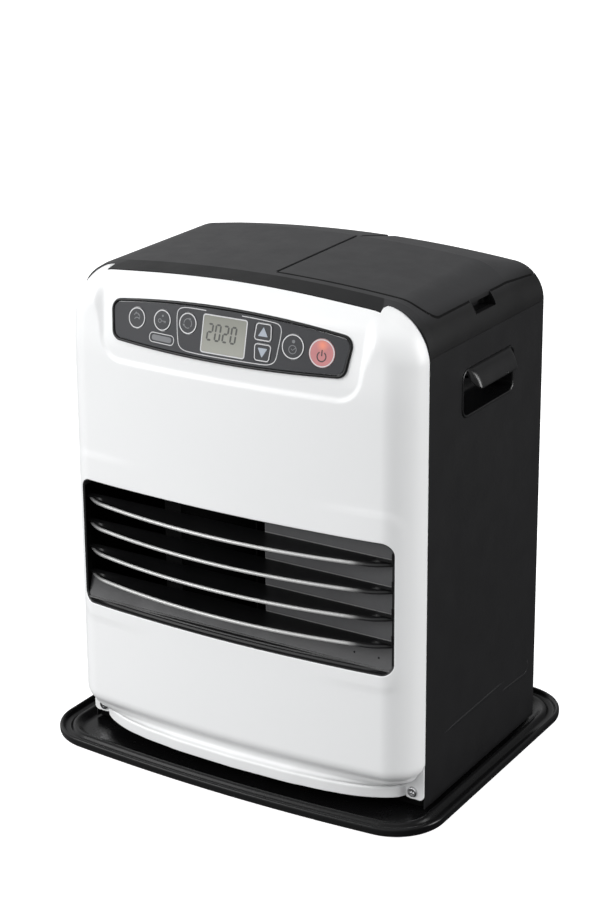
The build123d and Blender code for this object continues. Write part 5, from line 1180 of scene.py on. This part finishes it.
def fillet_poly(pts, radii, seg=9):
    """Rounds the corners of a closed polygon."""
    out, n = [], len(pts)
    for i in range(n):
        p, a, b = np.array(pts[i], float), np.array(pts[i - 1], float), np.array(pts[(i + 1) % n], float)
        r = radii[i] if hasattr(radii, "__len__") else radii
        if r <= 0:
            out.append(tuple(p))
            continue
        u1, u2 = unit(a - p), unit(b - p)
        ang = math.acos(max(-1, min(1, float(np.dot(u1, u2)))))
        dd = min(r / math.tan(ang / 2), 0.49 * np.linalg.norm(a - p), 0.49 * np.linalg.norm(b - p))
        rr = dd * math.tan(ang / 2)
        c = p + unit(u1 + u2) * (rr / math.sin(ang / 2))
        s, e = p + u1 * dd - c, p + u2 * dd - c
        t0, t1 = math.atan2(s[1], s[0]), math.atan2(e[1], e[0])
        dt = (t1 - t0 + math.pi) % (2 * math.pi) - math.pi
        for k in range(seg + 1):
            t = t0 + dt * k / seg
            out.append((c[0] + rr * math.cos(t), c[1] + rr * math.sin(t)))
    return out


def bezel_loop(i, n=48):
    """Lens-shaped outline set in by i, with the same rounding at the corners."""
    top = arc3((-113 + i, 14.8 - i), (0, 22.6 - i), (113 - i, 14.8 - i), n)
    low = arc3((108 - i, -17.4 + i), (0, -22.0 + i), (-108 + i, -17.4 + i), n)
    pts = top[::-1] + low[::-1]
    rad = [0] * len(pts)
    r = max(9.0 - i, 2.0)
    # corners: ends of the arcs
    keep, rr = [], []
    for k, p in enumerate(pts):
        keep.append(p)
        rr.append(0)
    m = len(top)
    return round_corners(keep, [0, m - 1, m, len(pts) - 1], r)


def round_corners(pts, corners, r, seg=10):
    """Rounds chosen corners of a dense closed loop, cutting back along it."""
    P = np.array(pts, float)
    n = len(P)
    out, skip = [], set()
    arcs = {}
    for c in corners:
        ip, iq = c, c
        # walk away from the corner until a circle of radius r touches both runs
        a0, b0 = P[(c - 1) % n], P[(c + 1) % n]
        u1, u2 = unit(a0 - P[c]), unit(b0 - P[c])
        ang = math.acos(max(-1, min(1, float(np.dot(u1, u2)))))
        dd = r / math.tan(ang / 2)
        cen = P[c] + unit(u1 + u2) * (r / math.sin(ang / 2))
        s, e = P[c] + u1 * dd - cen, P[c] + u2 * dd - cen
        t0, t1 = math.atan2(s[1], s[0]), math.atan2(e[1], e[0])
        dt = (t1 - t0 + math.pi) % (2 * math.pi) - math.pi
        arcs[c] = [(cen[0] + r * math.cos(t0 + dt * k / seg), cen[1] + r * math.sin(t0 + dt * k / seg))
                   for k in range(seg + 1)]
        k = 1
        while np.linalg.norm(P[(c - k) % n] - P[c]) < dd and (c - k) % n not in corners:
            skip.add((c - k) % n)
            k += 1
        k = 1
        while np.linalg.norm(P[(c + k) % n] - P[c]) < dd and (c + k) % n not in corners:
            skip.add((c + k) % n)
            k += 1
    for k in range(n):
        if k in arcs:
            out += arcs[k]
        elif k not in skip:
            out.append(tuple(P[k]))
    return out


def resample(pts, n):
    P = np.array(list(pts) + [pts[0]], float)
    s = np.concatenate([[0], np.cumsum(np.hypot(*np.diff(P, axis=0).T))])
    t = np.linspace(0, s[-1], n, endpoint=False)
    return np.stack([np.interp(t, s, P[:, 0]), np.interp(t, s, P[:, 1])], -1)


def loop_normals(P):
    d = np.roll(P, -1, axis=0) - np.roll(P, 1, axis=0)
    d = unit(d)
    return np.stack([d[:, 1], -d[:, 0]], -1)


def bezel():
    base = resample(bezel_loop(0.0), 420)
    nrm = loop_normals(base)
    area2 = np.sum(base[:, 0] * np.roll(base[:, 1], -1) - np.roll(base[:, 0], -1) * base[:, 1])
    if area2 < 0:
        nrm = -nrm
    sec = [(0.0, -4.2), (0.0, -1.5), (0.0, 0.2), (0.15, 0.9), (0.6, 1.45), (1.2, 1.62), (1.75, 1.5), (2.2, 1.15),
           (2.45, 0.75), (2.6, 0.45), (2.65, -0.4), (2.65, -1.3)]
    c = catmull(sec, 3)
    nu, nv = len(base), len(c)
    G = np.zeros((nu, nv, 3))
    for j, (i, n) in enumerate(c):
        q = base - nrm * i
        G[:, j] = on_face(q[:, 0], q[:, 1], n)
    du = np.roll(G, -1, axis=0) - np.roll(G, 1, axis=0)
    dv = np.gradient(G, axis=1)
    N = unit(np.cross(du, dv))
    if N[:, 10].dot(FN).mean() < 0:
        N = -N
    F = grid(nu, nv, closed=True)
    v = G.reshape(-1, 3)
    f = F[nv // 2]
    fn = np.cross(v[f[1]] - v[f[0]], v[f[2]] - v[f[1]])
    if np.dot(fn, N.reshape(-1, 3)[f[0]]) < 0:
        F = [q[::-1] for q in F]
    return build("bezel_rim", v, F, [M["black_gloss_plastic"]], normals=N.reshape(-1, 3),
                 slot="black_gloss_plastic", replaces=("control_bezel",))


bezel()

ROUND = {"economy_key": (-85.0, 2.6, 8.6), "child_lock_key": (-59.5, 4.2, 8.6), "mode_key": (-34.5, 5.2, 8.6),
         "timer_key": (62.0, 0.8, 9.8), "power_key": (87.0, -0.6, 11.0)}
ARROW = {"up_key": (35.2, 8.2, 16.0, 13.6), "down_key": (36.0, -7.6, 15.2, 13.6)}
LCD_W, LCD_H = 39.0, 28.4


def circle(cx, cy, r, n=64):
    return [(cx + r * math.cos(2 * math.pi * i / n), cy + r * math.sin(2 * math.pi * i / n)) for i in range(n)]


def rrect(cx, cy, w, h, r, seg=6):
    return fillet_poly([(cx - w / 2, cy - h / 2), (cx + w / 2, cy - h / 2), (cx + w / 2, cy + h / 2),
                        (cx - w / 2, cy + h / 2)], r, seg)


def flat_region(outer, holes, extra=None, step=4.0):
    """Triangles of a flat region with holes, all counterclockwise."""
    loops = [np.array(outer, float)] + [np.array(h, float) for h in holes]
    pts = np.concatenate(loops)
    edges, b = [], 0
    for l in loops:
        edges += [(b + i, b + (i + 1) % len(l)) for i in range(len(l))]
        b += len(l)

    def inside(poly, q):
        c = np.zeros(len(q), bool)
        P2 = np.roll(poly, -1, axis=0)
        for (a, d1), (a2, d2) in zip(poly, P2):
            if d1 == d2:
                continue
            hit = ((d1 > q[:, 1]) != (d2 > q[:, 1])) & (q[:, 0] < (a2 - a) * (q[:, 1] - d1) / (d2 - d1) + a)
            c ^= hit
        return c
    if step:
        lo, hi = loops[0].min(0), loops[0].max(0)
        gx, gy = np.meshgrid(np.arange(lo[0] + step, hi[0], step), np.arange(lo[1] + step, hi[1], step))
        g = np.stack([gx.ravel(), gy.ravel()], -1)
        ok = inside(loops[0], g)
        for h in loops[1:]:
            ok &= ~inside(h, g)
        g = g[ok]
        if len(g):
            near = np.min(np.hypot(g[:, None, 0] - pts[None, :, 0], g[:, None, 1] - pts[None, :, 1]), axis=1)
            pts = np.concatenate([pts, g[near > step * 0.35]])
    res = delaunay_2d_cdt([Vector((float(a), float(c))) for a, c in pts], edges, [], 0, 1e-6)
    P = np.array([tuple(p) for p in res[0]])
    T = [list(t) for t in res[2]]
    cen = np.array([P[t].mean(0) for t in T])
    ok = inside(loops[0], cen)
    for h in loops[1:]:
        ok &= ~inside(h, cen)
    T = [t for t, k in zip(T, ok) if k]
    T = [t if np.cross(P[t[1]] - P[t[0]], P[t[2]] - P[t[0]]) > 0 else t[::-1] for t in T]
    return P, T


def plate(P, T, place, n_top, n_low):
    """Closed plate of flat triangles placed by place(x, h, n)."""
    top = place(P[:, 0], P[:, 1], n_top)
    low = place(P[:, 0], P[:, 1], n_low)
    m = len(P)
    F = [list(t) for t in T] + [[i + m for i in t[::-1]] for t in T]
    seen = set()
    for t in T:
        for a, b in zip(t, t[1:] + t[:1]):
            seen.add((a, b))
    for a, b in seen:
        if (b, a) not in seen:
            F.append([b, a, a + m, b + m])
    return np.concatenate([top, low]).tolist(), F


film_holes = [circle(x, h, r + 0.3) for x, h, r in ROUND.values()]
film_holes += [rrect(x, h, w + 0.6, t + 0.6, 3.3) for x, h, w, t in ARROW.values()]
film_holes.append(rrect(0, 0, LCD_W + 0.2, LCD_H + 0.2, 1.2))
P, T = flat_region(resample(bezel_loop(2.7), 300), film_holes, step=5.0)
build("keypad_film_sheet", *plate(P, T, on_face, 0.5, -1.2), [M["panel_film"]], sharp=30, slot="panel_film",
      replaces=("keypad_overlay",))


def ribbon(points, width, closed=False):
    """Outline polygon(s) of a stroke: left and right runs of a polyline."""
    P = np.array(points, float)
    if closed:
        d = np.roll(P, -1, axis=0) - np.roll(P, 1, axis=0)
    else:
        d = np.gradient(P, axis=0)
    d = unit(d)
    nrm = np.stack([-d[:, 1], d[:, 0]], -1)
    return P + nrm * width / 2, P - nrm * width / 2


def stroke(points, width, place, n_top, n_low, closed=False):
    A, B = ribbon(points, width, closed)
    m = len(A)
    V = np.concatenate([place(A[:, 0], A[:, 1], n_top), place(B[:, 0], B[:, 1], n_top),
                        place(A[:, 0], A[:, 1], n_low), place(B[:, 0], B[:, 1], n_low)]).tolist()
    F = []
    for i in range(m if closed else m - 1):
        k = (i + 1) % m
        F += [[i, i + m, k + m, k], [k + 2 * m, k + 3 * m, i + 3 * m, i + 2 * m],
              [i + 2 * m, i, k, k + 2 * m], [i + m, i + 3 * m, k + 3 * m, k + m]]
    if not closed:
        F += [[0, 2 * m, 3 * m, m], [m - 1, 2 * m - 1, 4 * m - 1, 3 * m - 1]]
    return V, F


def blob(points, place, n_top, n_low):
    P, T = flat_region(points, [], step=0)
    return plate(P, T, place, n_top, n_low)


def key_place(name):
    x0, h0 = (ROUND.get(name) or ARROW.get(name))[:2]
    a = x0 / FR
    z = FN * math.cos(a) + np.array([1.0, 0, 0]) * math.sin(a)
    xd = np.array([1.0, 0, 0]) * math.cos(a) - FN * math.sin(a)
    yd = np.cross(z, xd)
    o = on_face(x0, h0, 0.0)

    def place(x, y, n):
        x, y, n = np.broadcast_arrays(np.asarray(x, float), np.asarray(y, float), np.asarray(n, float))
        return o + x[..., None] * xd + y[..., None] * yd + n[..., None] * z
    return place


TOP, LOW = 0.745, 0.66
for name, (x, h, r) in ROUND.items():
    place = key_place(name)
    build(name + "_ring", *stroke(circle(0, 0, r - 0.72, 72), 0.86, place, TOP, LOW, True), [M["print_white"]],
          sharp=30, body=name + "_body", slot=SUB[name])

# outlines of the arrow keys and their triangles
for name, (x, h, w, t) in ARROW.items():
    place = key_place(name)
    up = name == "up_key"
    a, b = (6.4, 7.5) if up else (7.3, 6.2)
    poly = fillet_poly([(-b, -t / 2 + 0.5), (b, -t / 2 + 0.5), (a, t / 2 - 0.5), (-a, t / 2 - 0.5)], 2.2, 6)
    build(name + "_outline", *stroke(resample(poly, 80), 0.75, place, TOP, LOW, True), [M["print_white"]],
          sharp=30, body=name + "_body", slot=SUB[name])
    k = 1 if up else -1
    tri = [(-4.3, -3.4 * k), (4.3, -3.4 * k), (0, 3.9 * k)]
    if not up:
        tri = tri[::-1]
    build(name + "_arrow", *blob(fillet_poly(tri, 0.3, 3), place, TOP, LOW), [M["print_blue"]], sharp=30,
          body=name + "_body", slot=SUB[name])


def arc(cx, cy, r, a0, a1, n=24):
    return [(cx + r * math.cos(math.radians(t)), cy + r * math.sin(math.radians(t))) for t in np.linspace(a0, a1, n)]


# small generic pictograms
pl = key_place("economy_key")
parts = [stroke(arc(-0.2, 0.6, 3.1, 155, 20), 0.7, pl, TOP, LOW), stroke(arc(0.3, -2.6, 3.0, 35, 150), 0.7, pl, TOP, LOW),
         blob(circle(-1.2, 3.9, 0.85, 16), pl, TOP, LOW), stroke(arc(1.4, 1.0, 1.5, -60, 120), 0.55, pl, TOP, LOW)]
build("economy_key_icon", *gather(parts), [M["print_dim"]], sharp=30, body="economy_key_body", slot="dark_key")
pl = key_place("child_lock_key")
parts = [stroke(circle(-2.3, -0.6, 1.45, 20), 0.6, pl, TOP, LOW, True),
         stroke([(-0.8, -0.6), (1.4, -0.6), (3.6, -0.6)], 0.65, pl, TOP, LOW),
         stroke([(2.1, -0.6), (2.1, -2.0)], 0.6, pl, TOP, LOW), stroke([(3.3, -0.6), (3.3, -1.8)], 0.6, pl, TOP, LOW),
         blob(circle(0.2, 3.5, 0.9, 16), pl, TOP, LOW)]
build("child_lock_key_icon", *gather(parts), [M["print_dim"]], sharp=30, body="child_lock_key_body", slot="dark_key")
pl = key_place("mode_key")
parts = [stroke(arc(0, 0, 3.7, 70, 180), 0.7, pl, TOP, LOW), stroke(arc(0, 0, 3.7, 205, 300), 0.7, pl, TOP, LOW),
         stroke(arc(0, 0, 3.7, -40, 48), 0.7, pl, TOP, LOW),
         blob([(-4.9, -0.9), (-2.6, -0.9), (-3.8, -2.6)][::-1], pl, TOP, LOW),
         blob([(1.2, 4.7), (1.2, 2.4), (2.9, 3.7)], pl, TOP, LOW)]
build("mode_key_icon", *gather(parts), [M["print_dim"]], sharp=30, body="mode_key_body", slot="dark_key")
pl = key_place("timer_key")
parts = [stroke(circle(0, -2.2, 3.2, 32), 0.6, pl, TOP, LOW, True),
         stroke([(-1.4, -1.6), (0, -2.8), (2.2, -0.9)], 0.6, pl, TOP, LOW)]
build("timer_key_icon", *gather(parts), [M["print_dim"]], sharp=30, body="timer_key_body", slot="dark_key")
build("timer_key_lamp", *blob(circle(0.2, 4.0, 1.35, 24), pl, TOP, LOW), [M["print_dim"]], sharp=30,
      body="timer_key_body", slot="dark_key")
pl = key_place("power_key")
parts = [stroke(arc(0, -2.6, 3.7, 122, 418, 40), 1.0, pl, TOP, LOW), stroke([(0, -2.2), (0, 2.6)], 1.0, pl, TOP, LOW)]
build("power_key_icon", *gather(parts), [M["print_dark"]], sharp=30, body="power_key_body", slot="red_key")
lamp = (pl(0.0, 6.2, 0.7) - np.array([0.0, 0.0, DATUM])) * MM
dress("power_key", power_key_mat(*[float(c) for c in lamp]))

# printed lines on the film
FT, FL = 0.56, 0.44
loop = [(-18.6, 17.6), (-40.8, 17.2), (-46.1, 11.5), (-42.0, -11.5), (-36.3, -16.3), (-26.1, -17.1), (8.0, -17.2),
        (41.6, -16.8), (48.5, -11.9), (50.7, 8.3), (50.1, 13.7), (45.1, 16.3), (14.7, 17.8)]
smooth = catmull(loop[:6], 8).tolist() + catmull(loop[6:], 8).tolist()
line = catmull([(-18.6, 17.6), (-30, 17.6), (-39.5, 17.1), (-44.3, 14.9), (-45.6, 10.5), (-44.4, 0.0), (-42.2, -10.5),
                (-40.2, -14.0), (-36.3, -16.1), (-30.0, -16.9), (-12, -17.3), (8.0, -17.2), (28, -16.9),
                (40.2, -16.4), (45.6, -14.6), (48.4, -10.8), (49.6, -2.0), (50.7, 7.6), (50.4, 12.6), (48.4, 15.3),
                (44.4, 16.6), (30.0, 17.5), (14.7, 17.9)], 6)
build("printed_loop", *stroke(line, 0.62, on_face, FT, FL), [M["print_white"]], sharp=30, slot="panel_film")
build("display_outline", *stroke(resample(rrect(0, 0, LCD_W + 1.3, LCD_H + 1.2, 1.8), 160), 0.95, on_face, FT, FL, True),
      [M["print_white"]], sharp=30, slot="panel_film")
ca, sa = math.cos(math.radians(-1.5)), math.sin(math.radians(-1.5))
rot2 = [(-58.6 + (x * ca - y * sa), -10.4 + (x * sa + y * ca)) for x, y in resample(rrect(0, 0, 24, 7.6, 3.2), 90)]
build("indicator_outline", *stroke(rot2, 0.6, on_face, FT, FL, True), [M["print_white"]], sharp=30, slot="panel_film")
rot3 = [(-58.6 + (x * ca - y * sa), -10.4 + (x * sa + y * ca)) for x, y in resample(rrect(0, 0, 19.5, 4.4, 2.0), 60)]
build("indicator_lens", *blob(rot3, on_face, FT - 0.02, FL), [M["print_dim"]], sharp=30, slot="panel_film")

# display digits
dress("display_window", M["lcd_front"])
SEG = {"2": "abged", "0": "abcdef"}


def digit(ch, x0, h0, w, t, th):
    out = []
    g = 0.22
    k = th / 2
    mid = h0 + t / 2

    def hbar(y, xa, xb):
        return [(xa + k, y - k), (xb - k, y - k), (xb, y), (xb - k, y + k), (xa + k, y + k), (xa, y)]

    def vbar(x, ya, yb):
        return [(x + k, ya + k), (x + k, yb - k), (x, yb), (x - k, yb - k), (x - k, ya + k), (x, ya)]
    xa, xb = x0 + k, x0 + w - k
    segs = {"a": hbar(h0 + t - k, xa + g, xb - g), "g": hbar(mid, xa + g, xb - g), "d": hbar(h0 + k, xa + g, xb - g),
            "b": vbar(xb, mid + g, h0 + t - k - g), "c": vbar(xb, h0 + k + g, mid - g),
            "f": vbar(xa, mid + g, h0 + t - k - g), "e": vbar(xa, h0 + k + g, mid - g)}
    slant = 0.07
    for s in SEG[ch]:
        out.append([(x + (y - h0) * slant, y) for x, y in segs[s]])
    return out


def on_plane(x, h, n):
    x, h, n = np.broadcast_arrays(np.asarray(x, float), np.asarray(h, float), np.asarray(n, float))
    p = F0 + h[..., None] * FV + n[..., None] * FN
    p[..., 0] = x
    return p


parts = []
for i, ch in enumerate("2020"):
    for poly in digit(ch, -16.4 + i * 7.25, -5.4, 5.7, 14.0, 1.5):
        parts.append(blob(poly, on_plane, 0.42, 0.34))
build("display_digits", *gather(parts), [M["lcd_segment"]], sharp=30, slot="lcd_glass")


# ---------------------------------------------------------------------------
# carrying handles
# ---------------------------------------------------------------------------
def handle(sx, name):
    V, F = [], []

    def add(v, f):
        b = len(V)
        V.extend([tuple(p) for p in v])
        F.extend([[i + b for i in q] for q in f])
    # flange that lines the cut-out, and the pocket behind it
    cy, cz, L, H = 9.0, 345.3, 90.4, 39.8
    loop = np.array(resample(rrect(cy, cz, L, H, 8.7, 8), 140))
    nrm = loop_normals(loop)
    if np.sum(loop[:, 0] * np.roll(loop[:, 1], -1) - np.roll(loop[:, 0], -1) * loop[:, 1]) < 0:
        nrm = -nrm
    sec = [(0.0, HW - 2.6), (0.0, HW + 0.2), (0.25, HW + 0.75), (0.8, HW + 0.95), (1.6, HW + 0.75), (2.1, HW + 0.1),
           (2.4, HW - 3.0), (3.2, HW - 12.0), (4.2, HW - 23.0), (7.0, HW - 25.6), (12.0, HW - 26.0)]
    c = catmull(sec, 3)
    rows = []
    for inset, x in c:
        q = loop - nrm * inset
        rows.append([(sx * x, y, z) for y, z in q])
    G = np.array(rows).transpose(1, 0, 2)
    nu, nv = G.shape[:2]
    f = grid(nu, nv, closed=True, flip=sx < 0)
    add(G.reshape(-1, 3), f)
    last = [i * nv + nv - 1 for i in range(nu)]
    F.append(last if sx > 0 else last[::-1])
    back = [(sx * (HW - 2.6), 0, 0)]
    # hood: convex cap over the upper part, its ends rounded
    y0, y1 = -28.0, 44.8
    prof = [(0.2, 365.1), (1.6, 364.9), (3.6, 363.7), (5.6, 361.7), (7.4, 359.0), (9.0, 355.8), (10.1, 352.4),
            (10.7, 350.2), (10.6, 349.4), (10.0, 349.15), (9.2, 349.6), (8.6, 351.4), (7.6, 354.4), (6.0, 357.6),
            (4.0, 360.4), (1.6, 362.2), (0.2, 362.6)]
    prof = catmull(prof, 2)
    ys = []
    m = 40
    for i in range(m + 1):
        t = 0.5 - 0.5 * math.cos(math.pi * i / m)
        ys.append(y0 + (y1 - y0) * t)
    rows = []
    for y in ys:
        e = min(y - y0, y1 - y) / 7.0
        k = 1.0 if e >= 1 else math.sqrt(max(0.0, 1 - (1 - e) ** 2))
        k = 0.10 + 0.90 * k
        zk = 0.45 + 0.55 * (1.0 if e >= 1 else math.sqrt(max(0.0, 1 - (1 - e) ** 2)))
        rows.append([(sx * (HW + px * k), y, 365.1 + (pz - 365.1) * zk) for px, pz in prof])
    G = np.array(rows)
    nu, nv = G.shape[:2]
    add(G.reshape(-1, 3), grid(nu, nv, flip=sx > 0))
    b = len(V) - nu * nv
    F.append([b + j for j in range(nv)] if sx > 0 else [b + j for j in range(nv)][::-1])
    F.append([b + (nu - 1) * nv + j for j in range(nv)][::-1] if sx > 0 else [b + (nu - 1) * nv + j for j in range(nv)])
    # small moulding nub on the lip
    add(*dome(sx * (HW + 10.2), 22.0, 350.4, 1.4, 1.0, (sx * 1.0, 0, -0.35), 4, 12))
    return build(name + "_moulded", V, F, [M["handle_gloss"]], sharp=50, slot="dark_plastic", replaces=(name,))


handle(-1, "left_handle")
handle(1, "right_handle")


# painted shadow: a thin near-black strip in the gap in front of and beside the tank lid, flush with the cover, standing
# in for the shadow in the gap
def lid_gap_shadow_strip():
    tree = BVHTree.FromPolygons([v.co[:] for v in NODES["top_cover"].data.vertices],
                                [p.vertices[:] for p in NODES["top_cover"].data.polygons])

    def height(x, y):
        hit = tree.ray_cast(Vector((x * MM, y * MM, 0.6)), Vector((0, 0, -1)))
        return None if hit[0] is None else hit[0].z / MM

    x0, x1, y0, y1, r = 15.8, 153.8, -71.7, 108.2, 14.0
    path = []
    for x in np.arange(x0 + 2.0, x1 - r, 3.0):
        path.append((x, y0, 0.0, -1.0))
    for t in np.linspace(-HALF_PI, 0, 14):
        path.append((x1 - r + r * math.cos(t), y0 + r + r * math.sin(t), math.cos(t), math.sin(t)))
    for y in np.arange(y0 + r + 3.0, 102.0, 3.0):
        path.append((x1, y, 1.0, 0.0))
    runs, run = [], []
    for x, y, ex, ey in path:
        a, b = height(x + ex * 1.5, y + ey * 1.5), height(x + ex * 3.0, y + ey * 3.0)
        crest = 427.0 - (x + ex) ** 2 / 2600.0 - 42.0
        if a is None or b is None or a < crest or abs(a - b) > 2.4:
            if len(run) > 1:
                runs.append(run)
            run = []
            continue
        k = (a - b) / 1.5
        wide = 1.1 + 1.7 * max(0.0, -ey)
        run.append([(x + ex * o, y + ey * o, a + k * (1.5 - o) + l + DATUM)
                    for o, l in ((0.08, -0.5), (0.12, 0.05), (0.6, 0.06), (wide, 0.05), (wide + 0.04, -0.5))])
    if len(run) > 1:
        runs.append(run)
    V, F = [], []
    for run in runs:
        b, nv = len(V), 5
        for row in run:
            V += row
        F += grid(len(run), nv, base=b, flip=False)
        F += [[b + i * nv, b + i * nv + nv - 1, b + (i + 1) * nv + nv - 1, b + (i + 1) * nv][::-1]
              for i in range(len(run) - 1)]
        F += [[b + j for j in range(nv)], [b + (len(run) - 1) * nv + j for j in range(nv)][::-1]]
    return build("lid_gap_painted_shadow", V, F, [M["seal_black"]], sharp=40, slot="dark_plastic")


# near-lightless black of the painted gap shadow
M["seal_black"] = finish_mat("seal_black", (0.0022, 0.0022, 0.0023), 0.6, var=0.2, rvar=0.08, spec=0.08,
                             grain=1800.0, grain_depth=0.00002)
lid_gap_shadow_strip()


# pressed crease low in each side panel
def crease(sx):
    V, F = [], []
    for path in ([(-57.0, 66.2), (-20.0, 66.9), (20.0, 67.5), (50.0, 68.0)],
                 [(45.0, 60.2), (70.0, 59.4), (88.0, 58.7), (91.8, 59.0), (93.6, 60.8), (94.4, 64.5), (94.8, 70.0)]):
        p = catmull(path, 14)
        d = unit(np.gradient(p, axis=0))
        nrm = np.stack([-d[:, 1], d[:, 0]], -1)
        sec = [(-1.5, -0.06), (-0.9, 0.16), (-0.3, 0.34), (0.3, 0.34), (0.9, 0.16), (1.5, -0.06)]
        rows = []
        m = len(p)
        for i in range(m):
            e = min(1.0, min(i, m - 1 - i) / 6.0 + 0.12)
            rows.append([(sx * (HW + h * e), p[i, 0] + nrm[i, 0] * w * e, p[i, 1] + nrm[i, 1] * w * e) for w, h in sec])
        G = np.array(rows)
        nu, nv = G.shape[:2]
        b = len(V)
        V += [tuple(q) for q in G.reshape(-1, 3)]
        F += grid(nu, nv, base=b, flip=sx > 0)
        F += [[b + i * nv, b + i * nv + nv - 1, b + (i + 1) * nv + nv - 1, b + (i + 1) * nv][:: (-1 if sx > 0 else 1)]
              for i in range(nu - 1)]
    return build(("left" if sx < 0 else "right") + "_side_crease", V, F, [M["dark_coated_steel"]],
                 slot="dark_coated_steel")


crease(-1)
crease(1)


# ---------------------------------------------------------------------------
# floor, light, camera
# ---------------------------------------------------------------------------
def plain(name, col, rough):
    n = Net(name)
    f = n.noise(3.0, 2.0)
    c = n.mix(n.span(f, 0.3, 0.7, 0.0, 1.0), tone(col, 0.995), tone(col, 1.005))
    p = n.principled(Base_Color=c, Roughness=rough)
    p.inputs["Emission Color"].default_value = (1, 1, 1, 1)
    p.inputs["Emission Strength"].default_value = 0.72
    return n.mat


fm = bpy.data.meshes.new("floor")
fm.from_pydata([(-30, -30, -0.0004), (30, -30, -0.0004), (30, 30, -0.0004), (-30, 30, -0.0004)], [], [(0, 1, 2, 3)])
fm.materials.append(plain("floor_white", (0.93, 0.93, 0.93), 0.9))
floor = bpy.data.objects.new("floor", fm)
scene.collection.objects.link(floor)
floor.visible_diffuse = False
floor.visible_glossy = False

wall_v, wall_f = [], []
for i in range(64):
    t = 2 * math.pi * i / 64
    wall_v += [(29 * math.cos(t), 29 * math.sin(t), -0.5), (29 * math.cos(t), 29 * math.sin(t), 30.0)]
    k = (i + 1) % 64
    wall_f.append((2 * i, 2 * i + 1, 2 * k + 1, 2 * k))
wm = bpy.data.meshes.new("backdrop")
wm.from_pydata(wall_v, [], wall_f)
wm.materials.append(fm.materials[0])
backdrop = bpy.data.objects.new("backdrop", wm)
scene.collection.objects.link(backdrop)
backdrop.visible_diffuse = False
backdrop.visible_glossy = False
backdrop.visible_transmission = False
backdrop.visible_shadow = False

world = bpy.data.worlds.new("studio")
scene.world = world
world.use_nodes = True
bg = world.node_tree.nodes["Background"]
bg.inputs["Color"].default_value = (0.985, 0.992, 1.0, 1)
wt = world.node_tree
w_co = wt.nodes.new("ShaderNodeTexCoord").outputs["Generated"]
w_sep = wt.nodes.new("ShaderNodeSeparateXYZ")
wt.links.new(w_co, w_sep.inputs[0])
w_dot = wt.nodes.new("ShaderNodeVectorMath")
w_dot.operation = "DOT_PRODUCT"
wt.links.new(w_co, w_dot.inputs[0])
w_dot.inputs[1].default_value = (-0.50, -0.74, 0.45)


def w_span(value, a, b, c, d):
    m = wt.nodes.new("ShaderNodeMapRange")
    m.interpolation_type = "SMOOTHSTEP"
    wt.links.new(value, m.inputs["Value"])
    for i, v in zip(("From Min", "From Max", "To Min", "To Max"), (a, b, c, d)):
        m.inputs[i].default_value = v
    return m.outputs["Result"]


w_mul = wt.nodes.new("ShaderNodeMath")
w_mul.operation = "MULTIPLY"
wt.links.new(w_span(w_dot.outputs["Value"], -0.75, 0.75, 0.20, 1.2), w_mul.inputs[0])
wt.links.new(w_span(w_sep.outputs[2], -0.35, 0.12, 0.26, 1.0), w_mul.inputs[1])
w_dot2 = wt.nodes.new("ShaderNodeVectorMath")
w_dot2.operation = "DOT_PRODUCT"
wt.links.new(w_co, w_dot2.inputs[0])
w_dot2.inputs[1].default_value = (0.84, -0.54, 0.02)
w_mul2 = wt.nodes.new("ShaderNodeMath")
w_mul2.operation = "MULTIPLY"
wt.links.new(w_mul.outputs[0], w_mul2.inputs[0])
wt.links.new(w_span(w_dot2.outputs["Value"], 0.6, 0.98, 1.0, 0.62), w_mul2.inputs[1])
w_mul3 = wt.nodes.new("ShaderNodeMath")
w_mul3.operation = "MULTIPLY"
wt.links.new(w_mul2.outputs[0], w_mul3.inputs[0])
wt.links.new(w_span(w_sep.outputs[2], 0.35, 0.9, 1.0, 0.45), w_mul3.inputs[1])
wt.links.new(w_mul3.outputs[0], bg.inputs["Strength"])


def area(name, az, el, dist, size, power, target=(0, 0, 0.22), size_y=None, col=(1, 1, 1)):
    l = bpy.data.lights.new(name, "AREA")
    l.energy = power
    l.color = col
    l.shape = "RECTANGLE"
    l.size = size
    l.size_y = size_y or size
    o = bpy.data.objects.new(name, l)
    a, e = math.radians(az), math.radians(el)
    t = Vector(target)
    d = Vector((math.sin(a) * math.cos(e), -math.cos(a) * math.cos(e), math.sin(e)))
    o.location = t + d * dist
    o.rotation_mode = "QUATERNION"
    o.rotation_quaternion = (-d).to_track_quat("-Z", "Y")
    scene.collection.objects.link(o)
    return o


area("key_left", -40, 24, 2.6, 1.5, 33)
area("fill_right", 110, 14, 2.6, 0.9, 48, size_y=1.6)
area("top", 10, 84, 2.4, 2.0, 8)

cam_data = bpy.data.cameras.new("camera")
cam = bpy.data.objects.new("camera", cam_data)
scene.collection.objects.link(cam)
scene.camera = cam
az, el, roll = math.radians(31.767), math.radians(16.686), math.radians(-0.385)
d = Vector((-math.sin(az) * math.cos(el), math.cos(az) * math.cos(el), -math.sin(el)))
r = Vector((math.cos(az), math.sin(az), 0))
u = r.cross(d)
r2 = r * math.cos(roll) + u * math.sin(roll)
u2 = u * math.cos(roll) - r * math.sin(roll)
rot = Matrix((r2, u2, -d)).transposed()
cam.matrix_world = Matrix.Translation(Vector((0.884712, -1.439121, 0.845022))) @ rot.to_4x4()
cam_data.sensor_width = 36.0
cam_data.sensor_fit = "AUTO"
cam_data.lens = 2132.202 * 36.0 / 897.0
cam_data.shift_x = 0.0
cam_data.shift_y = -0.1098
cam_data.clip_start, cam_data.clip_end = 0.05, 100.0

scene.view_settings.view_transform = "Standard"
scene.view_settings.look = "None"
scene.view_settings.exposure = 0.0
scene.view_settings.gamma = 1.0
